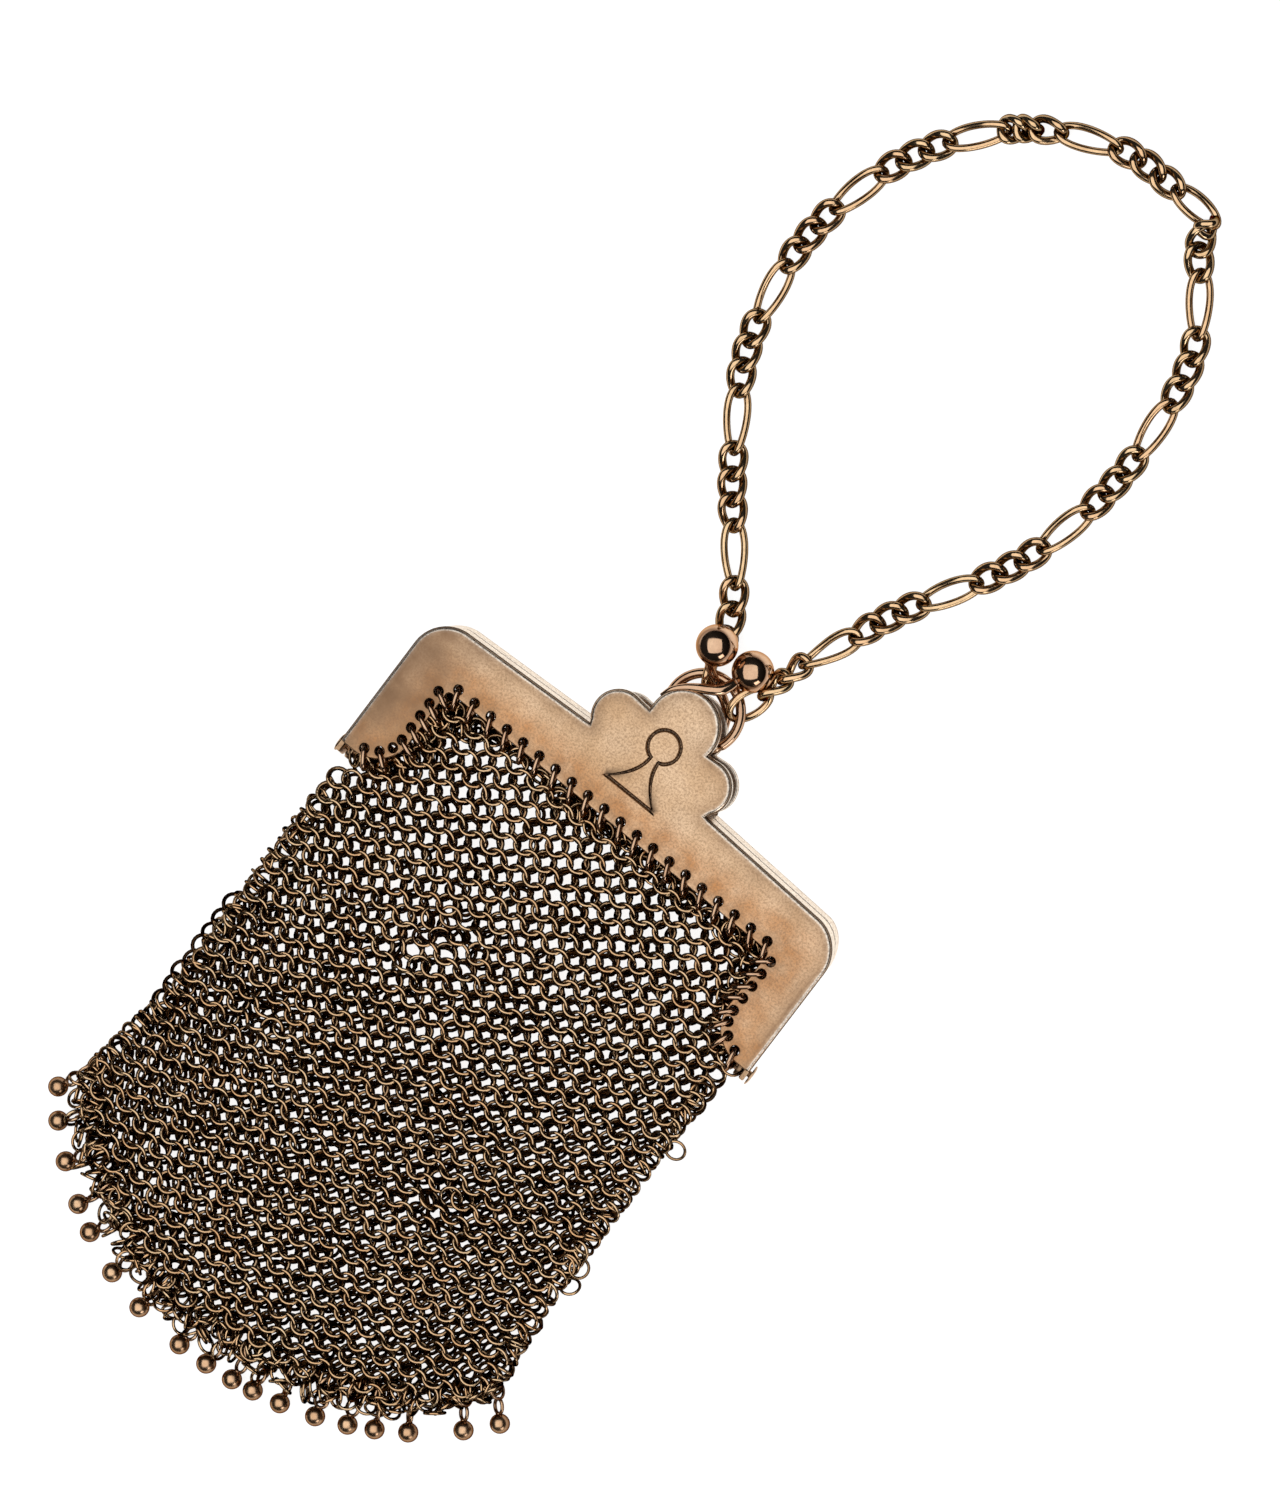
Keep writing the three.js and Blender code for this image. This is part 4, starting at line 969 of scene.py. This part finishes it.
def buildChain():
    c = chainSizes
    order = [c["start"]] + [c["short"]] * (c["atStart"] - 1)
    for k in range(c["longLinks"]):
        order.append(c["long"])
        if k < c["longLinks"] - 1:
            order += [c["short"]] * c["between"]
    order += [c["short"]] * (c["atEnd"] - 1) + [c["end"]]
    route = smoothLine([bailPoint(c["startAngle"]), *chainRoute, bailPoint(c["endAngle"])], 3000)
    run = np.concatenate([[0], np.cumsum(np.linalg.norm(np.diff(route, axis=0), axis=1))])
    pitches = [link["pitch"] * linkPitch.get(k, 1.0) for k, link in enumerate(order)]
    total = sum(pitches)

    def at(distance):
        share = distance / total * run[-1]
        return np.array([np.interp(share, run, route[:, k]) for k in range(3)])

    parts, passed = [], 0.0
    for k, link in enumerate(order):
        start, end = at(passed), at(passed + pitches[k])
        passed += pitches[k]
        along = unit(end - start)
        start = start - along * hookReach(link, order[k - 1] if k else None)
        end = end + along * hookReach(link, order[k + 1] if k < len(order) - 1 else None)
        roll = math.radians(link.get("turn", linkRolls.get(k, 0)))
        rise = 0.0 if "turn" in link else c["rise"]
        across = unit(np.cross([0, 0, 1.0], along))
        up = np.cross(along, across)
        side = across * math.cos(roll) + up * math.sin(roll)
        face = np.cross(along, side)
        halfLength, halfWidth = np.linalg.norm(end - start) / 2, (link["width"] - link["wire"]) / 2
        line, inward = linkCurve(halfLength, halfWidth, rise, 40)
        basis = np.stack([along, side, face])
        centre = (start + end) / 2
        placed = line @ basis + centre
        points, faces = sweepLine(placed, link["wire"] / 2, 12, True, inward @ basis)
        # each link's top is painted bright as a highlight with wear, its sides left in painted shade
        wear = topWearAndShade(points, placed, link["wire"] / 2, 12, 0.35, 0.95)
        points[:, 2] += max(0.0, c["lowest"] - points[:, 2].min())
        parts.append((points, faces, {"tone": rng.random(), "wear": wear}))
    buildPiece("wrist_chain_links", parts, chainMetal, ["wrist_chain"], 0)


# Bag

bagSizes = {"halfWidth": 35.3, "gap": 0.3, "side": 70.1, "sag": 17.3, "slant": 1.1, "shift": -1.3, "edge": 8}
# share of the length down, left and right half width, share of the frame's depth
bagTable = np.array([
    (0, 0.731, 0.805, 1), (0.075, 0.731, 0.805, 0.96), (0.15, 0.731, 0.805, 0.9),
    (0.178, 0.753, 0.827, 0.88), (0.202, 0.813, 0.887, 0.86), (0.222, 0.847, 0.92, 0.84),
    (0.245, 0.925, 0.943, 0.82), (0.35, 0.943, 0.943, 0.76), (0.5, 0.943, 0.943, 0.7),
    (0.65, 0.945, 0.943, 0.66), (0.8, 0.95, 0.947, 0.64), (0.89, 0.98, 0.97, 0.62),
    (0.95, 1, 0.985, 0.58), (0.985, 1.005, 0.99, 0.5), (1, 1.005, 0.99, 0.4),
])
ringSizes = {
    "radius": 1.42, "wire": 0.535, "tilt": 26.0, "pitchAcross": 3.62, "pitchDown": 2.64,
    "segments": 20, "sides": 6,
    "loose": 0.07, "lean": 4.0, "backLoose": 0.15, "backLean": 9.0, "drift": 0.85, "closer": 0.06,
    "rows": 78, "span": 80, "top": 1.75, "sag": 0.085, "widen": 0.03, "room": 0.9, "wave": 0.18,
}
# x, y and size of places where the mesh lies unevenly
ruffles = [(-8.0, -33.0, 3.2), (-11.5, -40.0, 2.6), (12.0, -62.0, 3.0), (-22.0, -58.0, 2.4)]


def bagLength(across):
    # the bag's length at a share of its half width: longest in the middle
    b = bagSizes
    u = np.clip(across, -1, 1)
    hang = (1 - np.abs(u) ** 2.2) ** 0.9
    return b["side"] + b["sag"] * hang - b["slant"] * np.tanh(3 * u)


def bagEdges(down):
    # where the bag's left and right edges are, at a share of its length
    left = bagSizes["shift"] - bagSizes["halfWidth"] * np.interp(down, bagTable[:, 0], bagTable[:, 1])
    right = bagSizes["shift"] + bagSizes["halfWidth"] * np.interp(down, bagTable[:, 0], bagTable[:, 2])
    return left, right


def bagThick(down):
    return frameSizes["depth"] * np.interp(down, bagTable[:, 0], bagTable[:, 3])


def layerRings(front):
    # centres of one layer's rings, in rows that sag a little towards the middle, and 1 for every second row
    r = ringSizes
    top = -frameSizes["bar"] - r["top"]
    found = []
    columns = int(r["span"] / r["pitchAcross"])
    for row in range(r["rows"]):
        for column in range(-columns, columns + 1):
            half = row % 2
            across = (column + half / 2) * r["pitchAcross"]
            down = row * r["pitchDown"] / 2
            u = np.clip((across - bagSizes["shift"]) / 34, -1.05, 1.05)
            share = down / 87.0
            y = top - down * (1 - r["sag"] * abs(u) ** 2.2) * (1 - r["closer"] * share)
            widen = 1 + r["widen"] * max(0.0, share - 0.8) / 0.2
            x = bagSizes["shift"] + (across - bagSizes["shift"]) * widen
            if not front:
                # the back layer slips sideways lower down, so its wires cross the front one's gaps
                drift = r["drift"] * min(1.0, max(0.0, 0.55 + 1.4 * (share - 0.25) + 0.1 * u))
                x, y = x + 0.8 * drift, y - 0.6 * drift
            found.append((x, y, share, half))
    found = np.array(found)
    length = bagLength((found[:, 0] - bagSizes["shift"]) / bagSizes["halfWidth"])
    bagTop = -frameSizes["bar"] - bagSizes["gap"]
    down = (bagTop - found[:, 1]) / length
    left, right = bagEdges(np.clip(down, 0.245, 1))
    # clear of the arms, of the pins and of the bag's own edge
    s = frameSizes
    inside, sweep = s["width"] / 2 - s["arm"], s["sweepWidth"]
    armEnd = -s["height"]
    dx = np.abs(found[:, 0]) - inside
    sweepTop = armEnd + s["sweepHeight"]
    reach = np.clip(1 - ((sweep - dx) / sweep) ** 2, 0, 1)
    sweepLow = sweepTop - s["sweepHeight"] * np.sqrt(reach)
    armLow = np.where(dx < 0, 99.0, np.where(dx < sweep, sweepLow, armEnd))
    clear = (dx < -0.7) | (found[:, 1] < armLow - 0.7)
    pin = np.hypot(np.abs(found[:, 0]) - s["width"] / 2 + 1.0, found[:, 1] + s["height"] + s["earDrop"])
    clear &= pin > 3.1
    keep = (found[:, 0] > left + 0.75) & (found[:, 0] < right - 0.75) & (down < 1 - 1.1 / length) & clear
    found, down, left, right = found[keep], down[keep], left[keep], right[keep]
    middle, half = (left + right) / 2, (right - left) / 2
    u = (found[:, 0] - middle) / half
    thick = bagThick(down)
    crown = np.sqrt(np.clip(1 - np.abs(u) ** bagSizes["edge"], 0, 1))
    room = r["room"]
    if front:
        z = thick / 2 + (thick / 2 - room) * crown
    else:
        z = thick / 2 - (thick / 2 - room) * crown
        found[:, :2] -= (0.187 * (thick - 2 * room) * crown)[:, None]
    wave = r["wave"] * np.sin(found[:, 0] * 0.33 + 1.1) * np.sin(found[:, 1] * 0.21 + 0.4)
    if front:
        z = z + wave
    return np.column_stack([found[:, :2], np.maximum(z, room)]), found[:, 3]


def buildBag():
    r = ringSizes
    for front in (True, False):
        centres, kinds = layerRings(front)
        count = len(centres)
        loose, wobble = (r["loose"], r["lean"]) if front else (r["backLoose"], r["backLean"])
        # a few places where the rings have been pulled about
        ruffled = 0
        for x, y, size in ruffles:
            ruffled = ruffled + band(np.hypot(*(centres[:, :2] - [x, y]).T), 0, size)
        centres = centres + rng.normal(0, 1, (count, 3)) * [1, 1, 0.6] * (loose + 0.25 * ruffled)[:, None]
        lean = np.where(kinds > 0, 1, -1) * (1 if front else -1) * r["tilt"]
        lean = lean + rng.normal(0, 1, count) * (wobble + 16 * ruffled)
        roll = rng.normal(0, 1, count) * (wobble + 16 * ruffled)
        lean, roll = np.radians(lean), np.radians(roll)
        normals = np.stack([np.sin(roll), -np.sin(lean), np.cos(lean) * np.cos(roll)], 1)
        tones = np.clip(rng.normal(0.45, 0.28, count), 0, 1)
        half = count // 2
        for part, chosen in (("upper", slice(0, half)), ("lower", slice(half, count))):
            rings = ringBatch(
                centres[chosen], normals[chosen], r["radius"], r["wire"], r["segments"], r["sides"],
                tones[chosen], out=1 if front else -1,
            )
            name = ("front" if front else "back") + "_mesh_" + part
            buildPiece(name, [rings], meshMetal, ["mesh_bag"], 0)


def edgeLine():
    # the bag's outline from its left shoulder round the bottom to its right one
    downs = np.linspace(0.27, 0.985, 60)
    sides = []
    for which in (0, 1):
        line = []
        for down in downs:
            edge = bagEdges(down)[which]
            y = -frameSizes["bar"] - bagSizes["gap"] - down * bagLength(2.0 * which - 1)
            line.append((edge, y))
        sides.append(np.array(line))
    across = np.sin(np.linspace(-math.pi / 2, math.pi / 2, 90))
    left, right = bagEdges(1.0)
    bottom = np.column_stack([
        (left + right) / 2 + across * (right - left) / 2,
        -frameSizes["bar"] - bagSizes["gap"] - bagLength(across),
    ])
    return np.concatenate([sides[0], bottom[1:-1], sides[1][::-1]])


edgeRings = {"spacing": 1.75, "radius": 1.4, "wire": 0.44, "inset": 1.15, "spread": 0.35, "skew": 0.34}
fringe = {
    "spacing": 0.62, "start": -76.0, "over": 6.0, "inset": 1.6, "reach": 2.5, "radius": 1.36, "wire": 0.44,
}
# x, y and z of each ring that has come half undone, and the direction that it faces
strayRings = [
    (31.2, -34.4, 3.6, -0.5, 0.6, 0.6), (32.9, -36.5, 3.4, 0.2, -0.3, 1.0),
    (32.2, -56.9, 3.0, 0.4, 0.2, 0.8), (32.6, -59.6, 2.6, -0.3, 0.5, 0.7),
]


def alongEdge(line, run, places):
    # points at distances along the edge, with the directions along it and outwards
    xy = np.stack([np.interp(places, run, line[:, k]) for k in range(2)], 1)
    ahead = np.stack([np.interp(places + 0.4, run, line[:, k]) for k in range(2)], 1) - xy
    along = unit(ahead)
    return xy, along, np.stack([along[:, 1], -along[:, 0]], 1)


def buildEdgeRings():
    # rings that close the bag's sides and its bottom, standing across the edge
    e, f = edgeRings, fringe
    line = edgeLine()
    run = np.concatenate([[0], np.cumsum(np.linalg.norm(np.diff(line, axis=0), axis=1))])
    xy, along, outward = alongEdge(line, run, np.arange(0.6, run[-1] - 0.4, e["spacing"]))
    length = bagLength((xy[:, 0] - bagSizes["shift"]) / bagSizes["halfWidth"])
    down = np.clip((-frameSizes["bar"] - xy[:, 1]) / length, 0, 1)
    count = len(xy)
    centre = xy - outward * (e["inset"] + rng.random(count) * e["spread"])[:, None]
    z = np.minimum(bagThick(down) / 2, 2.4) + rng.normal(0, 0.12, count)
    skew = rng.normal(0, e["skew"], count)
    normals = np.column_stack([along + outward * skew[:, None], rng.normal(0.25, 0.3, count)])
    centre = np.column_stack([centre, np.maximum(z, 1.66)])
    rings = ringBatch(centre, normals, e["radius"], e["wire"], 22, 7)
    # loose rings that hook round the drops' rings, past the bag's last row
    xy, along, outward = alongEdge(line, run, np.arange(1.0, run[-1] - 1.0, f["spacing"]))
    low = np.clip((f["start"] - xy[:, 1]) / f["over"], 0, 1)
    keep = rng.random(len(xy)) < 0.25 + 0.75 * low
    xy, outward, low = xy[keep], outward[keep], low[keep]
    count = len(xy)
    beyond = -f["inset"] + (0.5 + f["reach"] * low) * rng.random(count)
    centre = np.column_stack([xy + outward * beyond[:, None], 1.1 + 2.2 * rng.random(count)])
    normals = rng.normal(0, 1, (count, 3)) * [1, 1, 0.6]
    loose = ringBatch(centre, normals, f["radius"], f["wire"], 22, 7)
    # a few that have come half undone at the right side
    stray = ringBatch([s[:3] for s in strayRings], [s[3:] for s in strayRings], 1.3, 0.42, 26, 8)
    buildPiece("edge_rings", [rings, loose, stray], meshMetal, ["mesh_bag"], 0)


# radius, stretch and drop of the rings on each side, and which of the left arm's holes has lost its ring
linkRings = {
    "wire": 0.68, "reach": 1.25, "front": (0.88, 1.5, -0.1), "back": (0.55, 2.2, 0.25), "missing": 4,
}


def buildLinkRings():
    # rings through the frame's holes, leaning a little; one hole on the left arm has lost its ring
    parts = []
    holes = holePlaces()
    leftArm = [k for k, (x, y, _) in enumerate(holes) if x < -27 and y < -9]
    empty = sorted(leftArm, key=lambda k: -holes[k][1])[linkRings["missing"]]
    for z, side in ((frameSizes["depth"] - frameSizes["sheet"] / 2, 1), (frameSizes["sheet"] / 2, -1)):
        radius, stretch, drop = linkRings["front" if side > 0 else "back"]
        centres, normals, ahead = [], [], []
        for k, (x, y, away) in enumerate(holes):
            if k == empty and side > 0:
                continue
            a = math.radians(away)
            toEdge = -np.array([math.cos(a), math.sin(a), 0.0])
            pull = np.array([0.42, 0, 0]) if toEdge[1] < -0.5 else np.array([0.3, -0.6, 0])
            direction = unit(toEdge + pull + rng.normal(0, 0.09, 3) * [1, 1, 0])
            centres.append(np.array([x, y, z]) + direction * linkRings["reach"] + [0, 0, drop])
            normals.append(np.cross(direction, [0, 0, 1.0]) + np.array([0, 0, rng.normal(0, 0.06)]))
            ahead.append(direction)
        parts.append(ringBatch(
            centres, normals, radius, linkRings["wire"], 28, 12,
            stretch=stretch, ahead=ahead, out=side, lowest=-0.2,
        ))
    buildPiece("frame_link_rings", parts, polishedMetal, ["mesh_bag"], 0)


gatherSizes = {"step": 1.25, "first": 0.5, "deep": 2.3, "corner": 0.55, "radius": 1.38, "wire": 0.42}


def buildGathers():
    # the bag's first rows, crowded together where the holes are closer than the mesh's rings
    s, g = frameSizes, gatherSizes
    inside = s["width"] / 2 - s["arm"]
    places = []
    for x in np.arange(-inside + 1.2, inside - 1.0, g["step"]):
        corner = max(0.0, (abs(x) - inside * 0.72) / (inside * 0.28))
        for _ in range(1 + int(rng.random() < 0.35 + g["corner"] * corner)):
            off = g["first"] + g["deep"] * (1 + corner) * rng.random() ** 1.4
            places.append((x + rng.normal(0, 0.3), -s["bar"] - off))
    lowest = -s["height"] + s["sweepHeight"]
    for side in (-1, 1):
        for y in np.arange(-s["bar"] - 1.2, lowest - 0.5, -g["step"]):
            off = g["first"] + g["deep"] * 0.8 * rng.random() ** 1.4
            places.append((side * (inside - off), y + rng.normal(0, 0.3)))
        for angle in np.arange(12, 86, 12):
            a = math.radians(angle)
            off = 0.5 + 0.7 * rng.random()
            x = inside + s["sweepWidth"] - (s["sweepWidth"] + off) * math.cos(a)
            places.append((side * x, lowest - (s["sweepHeight"] + off) * math.sin(a)))
    # lowest and highest of the front's and of the back's rings
    parts = []
    count = len(places)
    for low, high, out in ((4.4, 5.6, 1), (1.3, 2.4, -1)):
        z = low + (high - low) * rng.random(count)
        centres = np.column_stack([np.array(places), z])
        leanX, leanY = rng.normal(0, 0.55, count), rng.normal(0, 0.75, count)
        normals = np.column_stack([leanX, leanY, 0.45 + 0.5 * rng.random(count)])
        tones = 0.7 * rng.random(count)
        parts.append(ringBatch(centres, normals, g["radius"], g["wire"], 20, 6, tones, out=out))
    buildPiece("gathered_rings", parts, meshMetal, ["mesh_bag"], 0)


# Drops

dropSizes = {
    "ball": 2.7, "ring": 2.5, "wire": 0.5, "sink": 0.3, "dent": 0.006, "collar": 0.34, "collarWire": 0.26,
    "hanger": 1.4, "hangerWire": 0.44, "hangerBack": 0.75, "hangerUp": 1.75,
}
# share of the bag's half width, and degrees that each drop swings to the right
dropPlaces = [
    (-0.995, -26), (-0.9, -36), (-0.79, -32), (-0.66, -28), (-0.56, -28), (-0.41, -22),
    (-0.25, -20), (-0.065, -8), (0.045, 0), (0.155, 2), (0.24, 4), (0.34, 10),
    (0.465, 16), (0.575, 20), (0.66, 24), (0.755, 32), (0.91, 36), (0.995, 42),
]


def buildDrops():
    d = dropSizes
    left, right = bagEdges(1.0)
    bottom = -frameSizes["bar"] - bagSizes["gap"]
    radius, mean = d["ball"] / 2, (d["ring"] - d["wire"]) / 2
    for k, (across, lean) in enumerate(dropPlaces):
        x = (left + right) / 2 + across * (right - left) / 2
        edge = np.array([x, bottom - bagLength(across), 0.0])
        a = math.radians(lean)
        away = np.array([math.sin(a), -math.cos(a), 0.0])
        ringCentre = edge + away * (bagSizes["gap"] + d["ring"] / 2) + [0, 0, radius]
        ball = ringCentre + away * (d["ring"] / 2 + radius - d["sink"])
        side = np.cross([0, 0, 1.0], away)
        tilt = math.radians(45 + rng.normal(0, 14))
        tilted = side * math.cos(tilt) + np.array([0, 0, 1.0]) * math.sin(tilt)
        ring = ringBatch([ringCentre], [np.cross(away, tilted)], mean, d["wire"], 30, 10)
        collar = ringBatch([ball - away * (radius - 0.03)], [away], d["collar"], d["collarWire"], 20, 8)
        sphere = ballMesh(ball, radius, 30, 20, d["dent"])
        # painted shade low down and a painted highlight on top, with some wear
        dropWearAndShade = 0.1 + 0.4 * topWearAndShade(sphere[0], [ball], radius, len(sphere[0]), 0.1, 0.8)
        dropWearAndShade += 0.5 * topWearAndShade(sphere[0], [ball], radius, len(sphere[0]), 0.84, 0.96)
        # the mesh's own ring that carries it
        hangerCentre = edge - away * d["hangerBack"] + [0, 0, d["hangerUp"]]
        hangerNormal = side + away * rng.normal(0, 0.3) + [0, 0, 0.4]
        hanger = ringBatch([hangerCentre], [hangerNormal], d["hanger"], d["hangerWire"], 24, 8)
        name = "ball_drop_%02d" % (k + 1)
        parts = [ring, (*sphere, {"tone": rng.random(), "wear": dropWearAndShade}), collar, hanger]
        buildPiece(name + "_metal", parts, dropMetal, [name], 50.0)


# Stage

# target is in millimetres in the row's frame; distances and places of the lights are metres
camera = {
    "lens": 400.0, "distance": 2188.2, "target": (-2.278, -1.654, 0.0),
    "back": (0.18143051, 0.17767742, 0.96721957), "up": (-0.62028817, 0.78388666, -0.02764601),
}
light = {
    "height": 0.72, "size": 1.22, "power": 5.3,
    "floor": (0.55, 0.55, 0.548), "floorGlow": 0.86, "around": 0.02,
}
floorSizes = {"half": 6.0, "height": -0.00025, "roughness": 0.9}
lowLight = {"place": (0.55, -0.25, 0.2), "width": 0.26, "tall": 0.2, "power": 0.55}


def buildStage():
    scene = bpy.context.scene
    data = bpy.data.cameras.new("camera")
    data.lens = camera["lens"]
    data.clip_start, data.clip_end = 0.05, 20.0
    eye = bpy.data.objects.new("camera", data)
    scene.collection.objects.link(eye)
    back = Vector(camera["back"]).normalized()
    up = Vector(camera["up"])
    right = up.cross(back).normalized()
    up = back.cross(right)
    place = (Vector(camera["target"]) + back * camera["distance"]) * metre
    turn = Matrix((right, up, back)).transposed().to_4x4()
    eye.matrix_world = Matrix.Translation(place) @ turn
    scene.camera = eye

    mesh = bpy.data.meshes.new("floor")
    half = floorSizes["half"]
    corners = [(-half, -half, 0), (half, -half, 0), (half, half, 0), (-half, half, 0)]
    mesh.from_pydata(corners, [], [(0, 1, 2, 3)])
    floor = bpy.data.objects.new("floor", mesh)
    floor.location.z = floorSizes["height"]
    scene.collection.objects.link(floor)
    material = bpy.data.materials.new("floor paper")
    material.use_nodes = True
    shader = material.node_tree.nodes["Principled BSDF"]
    shader.inputs["Base Color"].default_value = (*light["floor"], 1)
    shader.inputs["Roughness"].default_value = floorSizes["roughness"]
    shader.inputs["Emission Color"].default_value = (1, 1, 1, 1)
    shader.inputs["Emission Strength"].default_value = light["floorGlow"]
    mesh.materials.append(material)

    lamp = bpy.data.lights.new("softbox", "AREA")
    lamp.shape = "SQUARE"
    lamp.size = light["size"]
    lamp.energy = light["power"]
    lamp.color = (1.0, 0.985, 0.965)
    box = bpy.data.objects.new("softbox", lamp)
    box.location = Vector((0.02, 0.02, light["height"]))
    box.rotation_euler.z = math.atan2(right.y, right.x)
    box.visible_camera = False
    scene.collection.objects.link(box)

    lamp = bpy.data.lights.new("low light", "AREA")
    lamp.shape = "RECTANGLE"
    lamp.size, lamp.size_y = lowLight["width"], lowLight["tall"]
    lamp.energy = lowLight["power"]
    side = bpy.data.objects.new("low light", lamp)
    side.location = Vector(lowLight["place"])
    side.rotation_euler = side.location.to_track_quat("Z", "Y").to_euler()
    side.visible_camera = False
    scene.collection.objects.link(side)

    world = bpy.data.worlds.new("surroundings")
    world.use_nodes = True
    world.node_tree.nodes["Background"].inputs[0].default_value = (0.92, 0.95, 1.0, 1)
    world.node_tree.nodes["Background"].inputs[1].default_value = light["around"]
    scene.world = world
    scene.view_settings.view_transform = "Standard"
    print("stage ready")


buildStage()
buildFrame()
buildClasp()
buildPins()
buildBail()
buildChain()
buildBag()
buildEdgeRings()
buildLinkRings()
buildGathers()
buildDrops()
